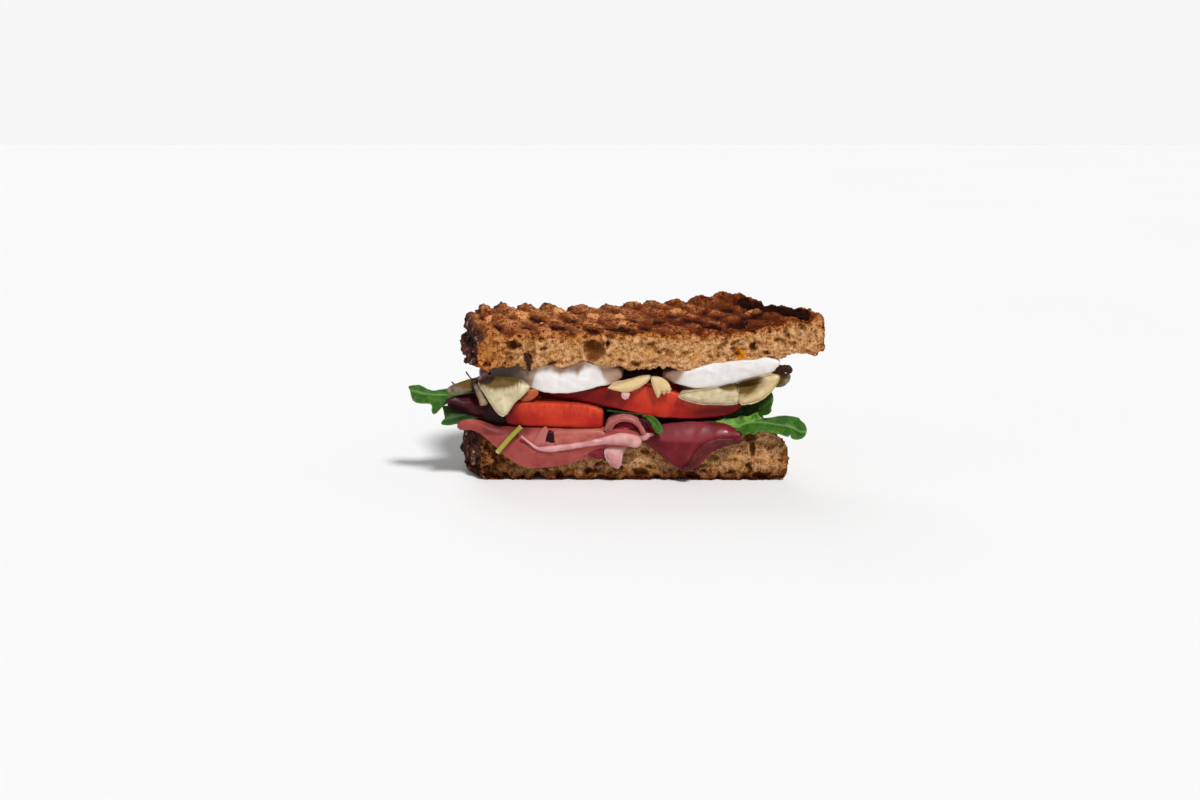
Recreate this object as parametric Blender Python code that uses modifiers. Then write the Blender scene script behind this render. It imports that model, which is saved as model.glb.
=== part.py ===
# Half of a pressed and grilled sandwich, cut straight across.
# Two toasted slices of seeded bread hold ham, salad leaves, tomato, artichoke and mozzarella.
# Sizes are in millimetres here and are turned to metres when a mesh is made.
# X runs along the cut, Y runs from the cut to the crust behind it, and Z is up.
# The cut lies in the plane Y = 0 of the working frame, and the sandwich stands on Z = 0.

import math

import bmesh
import bpy
from mathutils import Vector, noise

MM = 0.001

# The middle of the whole, which the finished object has at its origin
CENTRE_X = 1.5
CENTRE_Y = 24.2

# The grill's ribs cross the bread at an angle to the cut, one rib each pitch
RIB_TURN = math.radians(30)
RIB_PITCH = 9.1
RIB_FIRST = 64.4
TOP_STEPS = 6
BASE_STEPS = 4
TOP_GROOVE = 3.1
BASE_GROOVE = 2.2
BASE_FLAT = 0.9

# Bread
TOP_THICKNESS = 12.8
BASE_THICKNESS = 17.2
TOP_CREST = 53.5
RIM_RADIUS = 2.8
TOP_END = 64.4
BASE_END = 54.2
BACK_START = (-50.0, 35.0)
BACK_END = (40.5, 58.6)
CORNER = 12.0
CUT_RELIEF = 0.75

# Fillings
HAM_SHEET = 1.1
LEAF_SHEET = 0.5
TOMATO_REACH = 37.0
CHEESE_REACH = 24.0


def clear_scene():
    for old in list(bpy.data.objects):
        bpy.data.objects.remove(old, do_unlink=True)


def make_material(name, colour, roughness):
    material = bpy.data.materials.new(name)
    material.use_nodes = True
    shader = material.node_tree.nodes["Principled BSDF"]
    shader.inputs["Base Color"].default_value = (*colour, 1.0)
    shader.inputs["Roughness"].default_value = roughness
    shader.inputs["Metallic"].default_value = 0.0
    material.diffuse_color = (*colour, 1.0)
    return material


def smooth_step(value):
    value = min(max(value, 0.0), 1.0)
    return value * value * (3 - 2 * value)


def curve_through(points, at):
    """Smooth height at a place along short hand-chosen (place, height) points."""
    if at <= points[0][0]:
        return points[0][1]
    if at >= points[-1][0]:
        return points[-1][1]
    slopes = []
    for i in range(len(points)):
        before = points[max(i - 1, 0)]
        after = points[min(i + 1, len(points) - 1)]
        slopes.append((after[1] - before[1]) / (after[0] - before[0]))
    i = next(k for k in range(len(points) - 1) if at <= points[k + 1][0])
    (x0, y0), (x1, y1) = points[i], points[i + 1]
    span = x1 - x0
    s = (at - x0) / span
    return (
        y0 * (1 + 2 * s) * (1 - s) ** 2
        + slopes[i] * span * s * (1 - s) ** 2
        + y1 * s * s * (3 - 2 * s)
        + slopes[i + 1] * span * s * s * (s - 1)
    )


def ripple(x, y, z, size):
    """Even noise from -1 to 1 whose bumps are about size across."""
    return noise.noise(Vector((x, y, z)) / size)


def add_object(name, mesh, material, collection, holder):
    obj = bpy.data.objects.new(name, mesh)
    mesh.materials.append(material)
    collection.objects.link(obj)
    obj.parent = holder
    return obj


def finish_mesh(name, work, material, collection, holder):
    """Turns a bmesh in millimetres into an object in metres."""
    bmesh.ops.recalc_face_normals(work, faces=work.faces)
    bmesh.ops.scale(work, vec=(MM, MM, MM), verts=work.verts)
    mesh = bpy.data.meshes.new(name)
    work.to_mesh(mesh)
    work.free()
    mesh.shade_smooth()
    mesh.set_sharp_from_angle(angle=math.radians(40))
    return add_object(name, mesh, material, collection, holder)


# Bread

def along_rib(across, along):
    """Plan place of a point given across the ribs and along them."""
    x = across * math.cos(RIB_TURN) - along * math.sin(RIB_TURN)
    y = across * math.sin(RIB_TURN) + along * math.cos(RIB_TURN)
    return x, y


def across_ribs(x, y):
    return x * math.cos(RIB_TURN) + y * math.sin(RIB_TURN)


def blend_lowest(a, b, reach):
    """The lower of two distances, rounded where they meet."""
    share = max(reach - abs(a - b), 0.0) / reach
    return min(a, b) - share * share * reach / 4


def depth_inside(x, y, left_shift, end):
    """How far a plan point lies inside the crust of a slice."""
    left_edge = -46.0 - 0.837 * y + 0.0202 * y * y + left_shift * max(1 - y / 16, 0.45)
    from_left = 0.93 * (x - left_edge)
    back_x = BACK_END[0] - BACK_START[0]
    back_y = BACK_END[1] - BACK_START[1]
    length = math.hypot(back_x, back_y)
    from_back = (back_y * (x - BACK_START[0]) - back_x * (y - BACK_START[1])) / length
    from_back += 1.0 - 0.0007 * (x + 5) ** 2
    from_end = end - across_ribs(x, y)
    from_sides = blend_lowest(from_left, from_back, CORNER)
    return blend_lowest(from_sides, from_end, CORNER)


def rim_drop(depth):
    """How far a face falls towards the crust's rounded rim."""
    short = RIM_RADIUS - min(max(depth, 0.0), RIM_RADIUS)
    return RIM_RADIUS - math.sqrt(RIM_RADIUS**2 - short**2)


def rib_wave(across):
    """1 on the crest between two grill marks and 0 in the groove that a rib pressed."""
    turn = math.tau * (across - RIB_FIRST) / RIB_PITCH
    return (0.5 + 0.5 * math.cos(turn)) ** 0.75


def top_crest(x, y):
    lift_right = 6.4 * smooth_step((x + 0.3 * y - 41) / 32)
    lift_left = 3.4 * smooth_step((-x - 16) / 32) * y / 35
    return TOP_CREST + 0.078 * y + lift_right + lift_left + 0.5 * ripple(x, y, 0, 14)


def top_outer(x, y, depth):
    across = across_ribs(x, y)
    groove = TOP_GROOVE * (1 - rib_wave(across)) * (1 + 0.25 * ripple(x, y, 3, 11))
    return top_crest(x, y) - groove - rim_drop(depth)


SAG = (
    (-54, 0.0), (-43, 1.6), (-34, 0.0), (0, 0.0), (18, 0.9),
    (28, 1.4), (35, -0.6), (60, 0.2), (75, 1.4),
)


def top_inner_mean(x, y):
    """Lower face of the top slice, without its fine waves."""
    sag = curve_through(SAG, x) * smooth_step((14 - y) / 12)
    return top_crest(x, y) - 0.5 * ripple(x, y, 0, 14) - TOP_THICKNESS - sag


def top_inner(x, y, depth):
    return top_inner_mean(x, y) + 0.3 * ripple(x, y, 8, 6) + 0.3 + rim_drop(depth)


def base_inner(x, y, depth):
    return BASE_THICKNESS - 0.3 + 0.3 * ripple(x, y, 12, 7) - rim_drop(depth)


def base_outer(x, y, depth):
    groove = BASE_GROOVE * (1 - rib_wave(across_ribs(x, y)))
    return max(groove - BASE_FLAT, 0.0) + 1.3 * rim_drop(depth)


# Larger holes in the crumb at the cut: x, z, radius, depth
TOP_HOLES = ((-33, 48.5, 4.0, 3.0), (-6, 46.5, 4.6, 3.6), (21, 47, 2.6, 1.6), (52, 48, 3.0, 1.8))
BASE_HOLES = ((-20, 7, 3.2, 2.0), (9, 9, 3.0, 1.8), (38, 6.5, 3.0, 1.8), (56, 7, 2.6, 2.2))


def cut_push(x, z, holes):
    """How far behind the cut plane the torn crumb lies."""
    push = CUT_RELIEF * ripple(x, 5, z, 3.2) + 0.4 * ripple(x, 9, z, 1.4)
    for hole_x, hole_z, radius, deep in holes:
        away = math.hypot(x - hole_x, z - hole_z) / radius
        if away < 1:
            push += deep * (1 - away * away)
    return push


def column_back(across, left_shift, end):
    """How far along the ribs a column reaches before it meets the crust."""
    front = -across * math.tan(RIB_TURN)
    near, far = front + 6.0, front + 120.0
    for _ in range(40):
        middle = (near + far) / 2
        if depth_inside(*along_rib(across, middle), left_shift, end) > 0:
            near = middle
        else:
            far = middle
    return near


def slice_ring(across, left_shift, end, upper, lower, holes):
    """One closed section of a slice along the ribs: up the cut, over, down the crust, back."""
    front = -across * math.tan(RIB_TURN)
    back = column_back(across, left_shift, end)
    ring = []
    x, y = along_rib(across, front)
    inside = depth_inside(x, y, left_shift, end)
    low, high = lower(x, y, inside), upper(x, y, inside)
    rows = 6
    for k in range(rows + 1):
        z = low + (high - low) * k / rows
        z += 0.35 * ripple(x, 2, z, 2.5) * (k in (0, rows))
        ring.append((x, cut_push(x, z, holes), max(z, 0.0)))
    shares = (0.1, 0.3, 0.5, 0.7, 0.86, 0.95, 0.99)
    for share in shares:
        x, y = along_rib(across, front + (back - front) * share)
        ring.append((x, y, upper(x, y, depth_inside(x, y, left_shift, end))))
    x, y = along_rib(across, back)
    low, high = lower(x, y, 0), upper(x, y, 0)
    for k in range(3):
        swell = 0.9 * math.sin(math.pi * (k + 0.5) / 3)
        ring.append((x - 0.5 * swell, y + 0.8 * swell, high + (low - high) * (k + 0.5) / 3))
    for share in reversed(shares[1:]):
        x, y = along_rib(across, front + (back - front) * share)
        ring.append((x, y, lower(x, y, depth_inside(x, y, left_shift, end))))
    return ring


def column_places(end, steps):
    step = RIB_PITCH / steps
    places = [end - 0.25, end - 0.9]
    k = math.ceil((RIB_FIRST - end + 1.6) / step)
    while RIB_FIRST - k * step > -38.8:
        places.append(RIB_FIRST - k * step)
        k += 1
    return [end] + places + [-38.9, -39.7]


def make_slice(name, left_shift, end, steps, upper, lower, holes, material, collection, holder):
    work = bmesh.new()
    rings = []
    for across in column_places(end, steps):
        ring = slice_ring(across, left_shift, end, upper, lower, holes)
        rings.append([work.verts.new(point) for point in ring])
    count = len(rings[0])
    for one, two in zip(rings, rings[1:]):
        for k in range(count):
            after = (k + 1) % count
            work.faces.new((one[k], one[after], two[after], two[k]))
    for ring, outwards in ((rings[0], 0.8), (rings[-1], -0.8)):
        middle = sum((vert.co for vert in ring), Vector()) / count
        middle.x += outwards
        tip = work.verts.new(middle)
        for k in range(count):
            work.faces.new((ring[k], ring[(k + 1) % count], tip))
    return finish_mesh(name, work, material, collection, holder)


# Round slices of tomato and mozzarella

def make_round_slice(name, centre, reach, bottom, top, cut, square, material, collection, holder, sides=26):
    """A rounded disc between two height curves along X, cut flat at the plane y = cut.

    A larger square gives a fuller edge: 2 is an ellipse.
    """
    work = bmesh.new()
    bmesh.ops.create_uvsphere(work, u_segments=sides, v_segments=8, radius=1.0)
    for vert in work.verts:
        a, b, c = vert.co
        flat = math.hypot(a, b)
        turn = math.atan2(b, a)
        uneven = 1 + 0.025 * math.sin(2 * turn + centre[0]) + 0.015 * math.sin(5 * turn)
        spread = flat ** (2 / square) * uneven / max(flat, 1e-6)
        x = centre[0] + reach[0] * a * spread
        y = centre[1] + reach[1] * b * spread
        low, high = bottom(x, y), top(x, y)
        half = math.copysign(abs(c) ** (2 / square), c) * (high - low) / 2
        vert.co = (x, y, (low + high) / 2 + half)
    if cut is not None:
        everything = work.verts[:] + work.edges[:] + work.faces[:]
        bmesh.ops.bisect_plane(
            work, geom=everything, plane_co=(0, cut, 0), plane_no=(0, -1, 0), clear_outer=True
        )
        rim = [edge for edge in work.edges if edge.is_boundary]
        bmesh.ops.contextual_create(work, geom=rim)
    return finish_mesh(name, work, material, collection, holder)


def height_curve(points, rise=0.0):
    """A height along X, which can also rise towards the back."""
    return lambda x, y: curve_through(points, x) + rise * max(y - 8, 0)


def below_top_slice(points):
    """A height along X at the cut, which further in meets the slice above it."""
    def height(x, y):
        against = top_inner_mean(x, y) - 0.3
        share = smooth_step(y / 20)
        return min(curve_through(points, x) * (1 - share) + against * share, against)
    return height


# Folded sheets of ham

def path_point(points, share):
    """A point on a smooth path through (y, z) points, from share 0 to 1."""
    lengths = [0.0]
    for one, two in zip(points, points[1:]):
        lengths.append(lengths[-1] + math.dist(one, two))
    at = share * lengths[-1]
    y = curve_through(list(zip(lengths, (p[0] for p in points))), at)
    z = curve_through(list(zip(lengths, (p[1] for p in points))), at)
    return y, z


def make_sheet(name, shape, columns, rows, thickness, material, collection, holder):
    """An open grid bent by a shape function of (u, v), then given its thickness."""
    work = bmesh.new()
    bmesh.ops.create_grid(work, x_segments=columns, y_segments=rows, size=0.5)
    for vert in work.verts:
        vert.co = shape(vert.co.x + 0.5, vert.co.y + 0.5)
    bmesh.ops.triangulate(work, faces=work.faces)
    obj = finish_mesh(name, work, material, collection, holder)
    solidify = obj.modifiers.new("thickness", "SOLIDIFY")
    solidify.thickness = thickness * MM
    solidify.offset = 0.0
    solidify.use_even_offset = False
    return obj


def ham_apron(stations, shelf, rear, slant, ruffle):
    """A slice that lies on the bread and hangs over its front edge.

    A station gives x, then (y, z) of the lip, of the outermost crease and of the hem.
    """
    def shape(u, v):
        first, last = stations[0][0], stations[-1][0]
        x = first + (last - first) * u
        lip, crease, hem = (
            tuple(curve_through([(s[0], s[k][j]) for s in stations], x) for j in range(2))
            for k in (1, 2, 3)
        )
        back = rear[0] + (rear[1] - rear[0]) * u
        rise = ruffle * math.sin(x / 3.1) ** 2
        lean = slant[0] + (slant[1] - slant[0]) * u
        points = [
            (back + 1.2 * math.sin(x / 5), shelf + rise),
            (back * 0.6, shelf + 0.25 * rise),
            (3.0, shelf),
            lip,
            crease,
            hem,
        ]
        y, z = path_point(points, v)
        return Vector((x - lean * max(y - 3, 0), y, z))
    return shape


LEFT_HAM = (
    (-54.0, (-0.4, 21.4), (-1.9, 20.8), (-1.4, 19.2)),
    (-47.0, (-0.8, 21.4), (-2.5, 20.4), (-2.0, 18.0)),
    (-41.0, (-1.2, 19.8), (-3.2, 17.6), (-2.4, 13.2)),
    (-36.0, (-1.4, 19.0), (-4.0, 15.4), (-2.8, 8.6)),
    (-31.5, (-1.6, 18.7), (-5.0, 13.8), (-3.2, 6.0)),
    (-26.5, (-1.8, 18.5), (-5.8, 12.4), (-3.4, 5.4)),
    (-19.0, (-1.8, 18.4), (-5.9, 12.4), (-3.4, 6.1)),
    (-11.0, (-1.8, 18.4), (-5.5, 14.0), (-3.2, 7.9)),
    (-3.0, (-1.6, 18.6), (-5.0, 16.2), (-3.4, 10.8)),
    (4.0, (-1.6, 18.6), (-4.9, 16.9), (-4.4, 13.0)),
    (11.0, (-1.4, 17.9), (-4.0, 15.6), (-3.8, 13.2)),
)

RIGHT_HAM = (
    (12.3, (-1.5, 18.2), (-3.4, 16.6), (-2.8, 14.4)),
    (16.0, (-1.8, 19.2), (-4.4, 15.8), (-3.0, 11.2)),
    (20.0, (-2.0, 20.2), (-5.4, 14.6), (-3.4, 7.8)),
    (24.0, (-2.0, 20.7), (-6.0, 13.2), (-3.8, 5.2)),
    (27.0, (-2.0, 20.9), (-6.2, 12.8), (-4.0, 4.2)),
    (31.0, (-2.0, 21.0), (-6.0, 13.6), (-3.6, 6.4)),
    (35.0, (-2.0, 20.9), (-5.6, 15.2), (-3.0, 10.8)),
    (41.0, (-1.8, 20.0), (-4.8, 16.6), (-2.6, 13.2)),
    (46.0, (-1.4, 18.8), (-3.4, 17.2), (-2.4, 14.6)),
)


def ham_arch(u, v):
    """A bent strip that stands up as a small arch between the two large slices."""
    turn = math.pi * (1 - u)
    y = -3.2 + 17 * v
    swell = 1 - 0.18 * v
    x = 5.2 + 5.9 * math.cos(turn) * swell
    z = 19.6 + 3.9 * math.sin(turn) ** 0.8 * (1 - 0.35 * v) + 0.9 * v
    return Vector((x, y, z))


def ham_curl(u, v):
    """A narrow tongue that hangs down over the crumb and curls at its tip."""
    x = -2.2 + 7.6 * u - 1.6 * v * (1 - u)
    z = 11.6 - 7.6 * v + 2.6 * v * u * u
    y = -1.8 - 2.0 * math.sin(math.pi * u) * v
    return Vector((x, y, z))


def ham_pleat(u, v):
    """A small upright fold at the crease of the left slice."""
    x = -24.6 + 1.2 * math.sin(math.pi * u) + 1.2 * v
    y = -6.6 + 2.6 * u - 0.6 * v
    z = 15.6 + 3.6 * v + 1.4 * u
    return Vector((x, y, z))


def ham_upper(u, v):
    """A dark slice that stands on edge at the left end, under the artichoke."""
    x = -55.5 + 16.0 * u
    y = -1.2 + 5.6 * u - 1.1 * math.sin(math.pi * v)
    z = 26.0 + 4.2 * v - 1.4 * u * v + 0.4 * math.sin(9 * u)
    return Vector((x, y, z))


def ham_back(u, v):
    """A ruffled slice on edge, whose folds show between the crusts behind."""
    x = -6 + 36 * u
    y = 46.2 + 0.26 * x - 3.0 * v + (1.9 - 0.7 * v) * math.sin(x / 1.9) - 1.6 * u
    z = 20.6 + 5.0 * v + 0.5 * math.sin(x / 2.6)
    return Vector((x + 0.8 * math.cos(x / 1.9), y, z))


# Artichoke

def make_petal(name, outline, front, deep, back_scale, back_move, material, collection, holder):
    """A petal or a wedge of a heart: an outline in the XZ plane drawn back along Y."""
    work = bmesh.new()
    middle_x = sum(p[0] for p in outline) / len(outline)
    middle_z = sum(p[1] for p in outline) / len(outline)
    face = work.faces.new([work.verts.new((x, front, z)) for x, z in outline])
    drawn = bmesh.ops.extrude_face_region(work, geom=[face])["geom"]
    for vert in (item for item in drawn if isinstance(item, bmesh.types.BMVert)):
        vert.co.x = middle_x + (vert.co.x - middle_x) * back_scale[0] + back_move[0]
        vert.co.z = middle_z + (vert.co.z - middle_z) * back_scale[1] + back_move[1]
        vert.co.y = front + deep
    obj = finish_mesh(name, work, material, collection, holder)
    bevel = obj.modifiers.new("soft edges", "BEVEL")
    bevel.width = 0.8 * MM
    bevel.segments = 2
    return obj


# Salad leaves

def leaf_shape(rib, upper, lower, lean, wave):
    """A wavy lobed blade: rib is a list of (x, y, z), the widths are (share, width) curves."""
    steps = list(range(len(rib)))

    def shape(u, v):
        at = u * (len(rib) - 1)
        x, y, z = (curve_through(list(zip(steps, (p[k] for p in rib))), at) for k in range(3))
        side = 2 * v - 1
        width = curve_through(upper, u) if side > 0 else curve_through(lower, u)
        out = side * width
        lift = wave * math.sin(7 * u + 2 * side) * abs(side) + 0.25 * abs(side) * width * 0.3
        return Vector((
            x - 0.12 * out,
            y + out * math.cos(lean) - lift * math.sin(lean),
            z + out * math.sin(lean) + lift * math.cos(lean),
        ))
    return shape


def make_leaf(name, rib, upper, lower, lean, material, collection, holder, wave=0.5, columns=12):
    shape = leaf_shape(rib, upper, lower, math.radians(lean), wave)
    return make_sheet(name, shape, columns, 4, LEAF_SHEET, material, collection, holder)


def make_stem(name, start, bow, end, radius, material, collection, holder):
    """A cut stalk, as a bevelled curve."""
    data = bpy.data.curves.new(name, "CURVE")
    data.dimensions = "3D"
    data.bevel_depth = radius * MM
    data.bevel_resolution = 2
    data.resolution_u = 4
    data.use_fill_caps = True
    spline = data.splines.new("BEZIER")
    spline.bezier_points.add(2)
    for point, place in zip(spline.bezier_points, (start, bow, end)):
        point.co = Vector(place) * MM
        point.handle_left_type = point.handle_right_type = "AUTO"
    obj = bpy.data.objects.new(name, data)
    data.materials.append(material)
    collection.objects.link(obj)
    obj.parent = holder
    return obj


def build():
    clear_scene()
    collection = bpy.data.collections.new("panini_half")
    bpy.context.scene.collection.children.link(collection)
    holder = bpy.data.objects.new("panini_half", None)
    holder.location = (-CENTRE_X * MM, -CENTRE_Y * MM, 0)
    collection.objects.link(holder)
    kit = (collection, holder)

    crust = make_material("toasted_bread", (0.36, 0.17, 0.06), 0.85)
    ham = make_material("cured_ham", (0.45, 0.12, 0.13), 0.45)
    dark_ham = make_material("dark_cured_ham", (0.26, 0.05, 0.07), 0.45)
    leaf = make_material("salad_leaf", (0.07, 0.22, 0.03), 0.4)
    stalk = make_material("leaf_stalk", (0.40, 0.45, 0.05), 0.4)
    tomato = make_material("tomato_flesh", (0.60, 0.06, 0.02), 0.3)
    cheese = make_material("mozzarella", (0.86, 0.84, 0.80), 0.4)
    heart = make_material("artichoke", (0.66, 0.58, 0.33), 0.5)

    # Bread
    make_slice("bread_base", 3.8, BASE_END, BASE_STEPS, base_inner, base_outer, BASE_HOLES, crust, *kit)
    make_slice("bread_top", 0.0, TOP_END, TOP_STEPS, top_outer, top_inner, TOP_HOLES, crust, *kit)

    # Ham
    left = ham_apron(LEFT_HAM, 18.1, (31.0, 43.0), (0.0, 0.47), 1.2)
    make_sheet("ham_left", left, 20, 10, HAM_SHEET, ham, *kit)
    right = ham_apron(RIGHT_HAM, 18.9, (42.0, 50.0), (0.42, 0.30), 1.0)
    make_sheet("ham_right", right, 16, 10, HAM_SHEET, dark_ham, *kit)
    make_sheet("ham_arch", ham_arch, 10, 5, 1.5, ham, *kit)
    make_sheet("ham_curl", ham_curl, 5, 5, HAM_SHEET, ham, *kit)
    make_sheet("ham_pleat", ham_pleat, 4, 4, 0.9, ham, *kit)
    make_sheet("ham_upper", ham_upper, 8, 4, HAM_SHEET, dark_ham, *kit)
    make_sheet("ham_back", ham_back, 22, 3, HAM_SHEET, ham, *kit)

    # Tomato
    make_round_slice(
        "tomato_left", (-19.8, 0.0), (17.6, 15.0),
        height_curve(((-38, 20.2), (-20, 19.7), (-2, 18.9))),
        height_curve(((-38, 28.6), (-20, 28.1), (-9, 27.4), (-2, 26.0))),
        -2.2, 6, tomato, *kit, sides=22,
    )
    make_round_slice(
        "tomato_right", (11.0, 5.0), (TOMATO_REACH, TOMATO_REACH - 2),
        height_curve(
            ((-26, 28.4), (-12, 28.2), (-4, 27.5), (4, 25.8), (16, 23.6), (28, 22.6), (48, 22.6)), 0.03
        ),
        height_curve(((-26, 31.0), (-12, 31.1), (2, 31.4), (14, 31.2), (28, 28.5), (48, 28.0)), 0.08),
        -0.9, 5, tomato, *kit, sides=30,
    )
    make_round_slice(
        "tomato_back", (-22.0, 31.0), (14.0, 12.0),
        height_curve(((-36, 20.4), (-8, 20.4))),
        height_curve(((-36, 27.6), (-8, 27.6))),
        None, 5, tomato, *kit, sides=18,
    )

    # Mozzarella
    make_round_slice(
        "mozzarella_left", (-19.5, 6.0), (23.4, CHEESE_REACH),
        height_curve(
            ((-43, 37.2), (-35, 37.0), (-29, 34.4), (-22, 32.2), (-15, 31.6), (-7, 32.4), (3, 36)), 0.09
        ),
        below_top_slice(((-43, 40.4), (-10, 40.4), (4, 39.4))),
        -1.4, 4, cheese, *kit,
    )
    make_round_slice(
        "mozzarella_right", (37.0, 4.0), (21.8, 22.0),
        height_curve(((15, 36.0), (22, 34.8), (30, 33.6), (38, 33.6), (46, 35.2), (59, 38.8))),
        below_top_slice(((15, 38.6), (28, 39.0), (36, 41.4), (50, 43.2), (59, 43.2))),
        -1.0, 4, cheese, *kit,
    )
    make_round_slice(
        "mozzarella_back", (14.0, 38.0), (23.6, 14.4),
        height_curve(((-11, 34.0), (10, 34.4), (38, 36.6))),
        below_top_slice(((-11, 42.6), (10, 42.8), (38, 45.0))),
        None, 4, cheese, *kit, sides=22,
    )

    # Artichoke
    make_petal(
        "artichoke_left",
        (
            (-46.6, 34.9), (-39.0, 36.0), (-31.8, 36.0), (-28.0, 34.0), (-31.0, 30.4),
            (-34.0, 27.6), (-37.3, 24.0), (-41.5, 28.2), (-44.6, 32.0),
        ),
        -5.2, 9.0, (0.8, 0.5), (-1.2, 2.4), heart, *kit,
    )
    make_petal(
        "artichoke_side",
        ((-48.0, 34.6), (-46.9, 34.4), (-42.4, 27.9), (-47.0, 27.6), (-46.2, 30.4)),
        -4.6, 4.0, (1.0, 0.8), (-0.8, 0.6), heart, *kit,
    )
    make_petal(
        "artichoke_tip",
        (
            (-57.4, 34.6), (-54.0, 36.0), (-49.6, 37.2), (-48.6, 35.6), (-49.4, 33.0),
            (-53.6, 31.6), (-57.2, 31.4),
        ),
        -3.6, 6.0, (0.9, 0.7), (1.0, 1.4), heart, *kit,
    )
    make_petal(
        "artichoke_middle_left",
        (
            (14.0, 37.2), (8.0, 36.4), (0.6, 34.6), (1.6, 32.6), (4.0, 30.2),
            (5.4, 32.6), (10.6, 34.2), (13.6, 35.6),
        ),
        -3.8, 7.0, (0.75, 0.5), (1.2, 1.8), heart, *kit,
    )
    make_petal(
        "artichoke_middle_right",
        (
            (14.6, 37.3), (18.4, 36.6), (20.6, 33.8), (21.0, 31.8), (18.6, 31.6),
            (16.8, 29.8), (15.4, 33.0), (14.3, 35.4),
        ),
        -4.3, 5.0, (0.75, 0.6), (-2.0, 0.6), heart, *kit,
    )
    make_petal(
        "artichoke_right",
        (
            (23.4, 31.4), (27.6, 32.6), (34.0, 33.0), (39.6, 33.2), (44.2, 34.4),
            (44.4, 28.9), (39.0, 28.6), (33.8, 28.6), (28.0, 29.2),
        ),
        -4.2, 11.0, (0.85, 0.6), (0.5, 0.6), heart, *kit,
    )
    make_petal(
        "artichoke_cup",
        (
            (44.9, 34.6), (50.0, 35.0), (59.4, 36.4), (58.0, 34.2), (55.0, 30.4),
            (52.4, 28.4), (48.0, 28.4), (44.8, 28.9),
        ),
        -4.0, 9.0, (0.85, 0.6), (-0.6, 1.2), heart, *kit,
    )
    make_petal(
        "artichoke_far",
        (
            (59.4, 37.4), (61.6, 40.4), (60.6, 43.0), (63.2, 43.6), (65.2, 41.4),
            (64.4, 37.6), (62.2, 34.9), (60.2, 35.2),
        ),
        1.0, 6.0, (0.7, 0.7), (-1.0, -0.6), heart, *kit,
    )
    make_petal(
        "artichoke_back",
        ((-40.0, 37.0), (-31.0, 38.0), (-21.0, 37.6), (-18.0, 34.0), (-25.0, 29.2), (-34.0, 30.0)),
        32.0, 8.0, (0.9, 0.8), (1.0, 0.6), heart, *kit,
    )

    # Salad leaves
    make_leaf(
        "leaf_left",
        (
            (-47.0, 8.0, 28.8), (-54.0, 6.6, 29.0), (-60.0, 4.6, 29.4),
            (-66.0, 3.0, 30.2), (-71.2, 2.2, 31.8),
        ),
        ((0, 1.6), (0.3, 3.2), (0.55, 3.2), (0.8, 4.4), (0.95, 2.6), (1, 0.6)),
        (
            (0, 1.2), (0.3, 2.0), (0.5, 4.2), (0.6, 7.6), (0.66, 7.8),
            (0.72, 4.6), (0.86, 4.6), (0.96, 2.8), (1, 0.6),
        ),
        42, leaf, *kit, columns=14,
    )
    make_leaf(
        "leaf_left_low",
        ((-42.0, 4.0, 23.6), (-48.0, 1.5, 23.6), (-54.0, -0.5, 22.8), (-60.0, -1.5, 21.8)),
        ((0, 2.0), (0.5, 3.4), (0.8, 3.0), (1, 0.5)),
        ((0, 1.6), (0.4, 1.7), (0.8, 3.0), (0.95, 2.4), (1, 0.5)),
        40, leaf, *kit,
    )
    make_leaf(
        "leaf_right",
        (
            (31.0, 2.0, 22.0), (39.0, 0.2, 21.5), (46.0, -1.0, 21.2),
            (54.5, -1.8, 20.8), (62.0, -2.5, 20.2), (69.2, -3.0, 18.0),
        ),
        ((0, 0.6), (0.3, 1.2), (0.45, 1.5), (0.6, 2.6), (0.75, 4.2), (0.9, 4.0), (1, 0.6)),
        (
            (0, 0.6), (0.25, 1.6), (0.42, 4.0), (0.56, 2.0), (0.7, 3.0),
            (0.8, 4.2), (0.845, 2.8), (0.9, 4.4), (1, 0.6),
        ),
        38, leaf, *kit, wave=0.3, columns=16,
    )
    make_leaf(
        "leaf_right_upper",
        ((49.8, 5.0, 23.6), (52.0, 2.0, 25.0), (54.8, -0.6, 27.4), (57.4, -2.0, 30.4)),
        ((0, 1.0), (0.4, 2.8), (0.8, 2.0), (1, 0.4)),
        ((0, 1.0), (0.4, 3.4), (0.7, 3.0), (1, 0.4)),
        55, leaf, *kit, wave=0.3, columns=8,
    )
    make_leaf(
        "leaf_middle",
        ((10.4, -3.4, 23.6), (13.4, -4.8, 23.2), (16.2, -6.8, 21.2), (17.6, -8.0, 18.0)),
        ((0, 0.6), (0.5, 1.5), (0.8, 1.6), (1, 0.3)),
        ((0, 0.4), (0.5, 2.2), (0.8, 2.0), (1, 0.3)),
        62, leaf, *kit, wave=0.2, columns=8,
    )
    make_leaf(
        "leaf_under",
        ((-1.4, -0.8, 25.4), (5.0, -0.9, 24.7), (11.0, -0.4, 23.9), (20.0, 2.0, 22.3)),
        ((0, 0.8), (0.5, 3.4), (1, 1.0)),
        ((0, 0.2), (0.5, 0.5), (1, 0.3)),
        0, leaf, *kit, wave=0.0, columns=8,
    )
    make_leaf(
        "leaf_back_right",
        ((31.0, 36.0, 26.6), (37.0, 41.0, 26.8), (43.0, 44.5, 26.2), (49.0, 46.0, 24.6)),
        ((0, 1.4), (0.3, 3.4), (0.45, 1.8), (0.66, 4.2), (0.8, 2.2), (0.92, 3.0), (1, 0.5)),
        ((0, 1.4), (0.3, 3.0), (0.45, 1.6), (0.66, 3.8), (0.8, 2.0), (0.92, 2.6), (1, 0.5)),
        16, leaf, *kit,
    )
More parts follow.
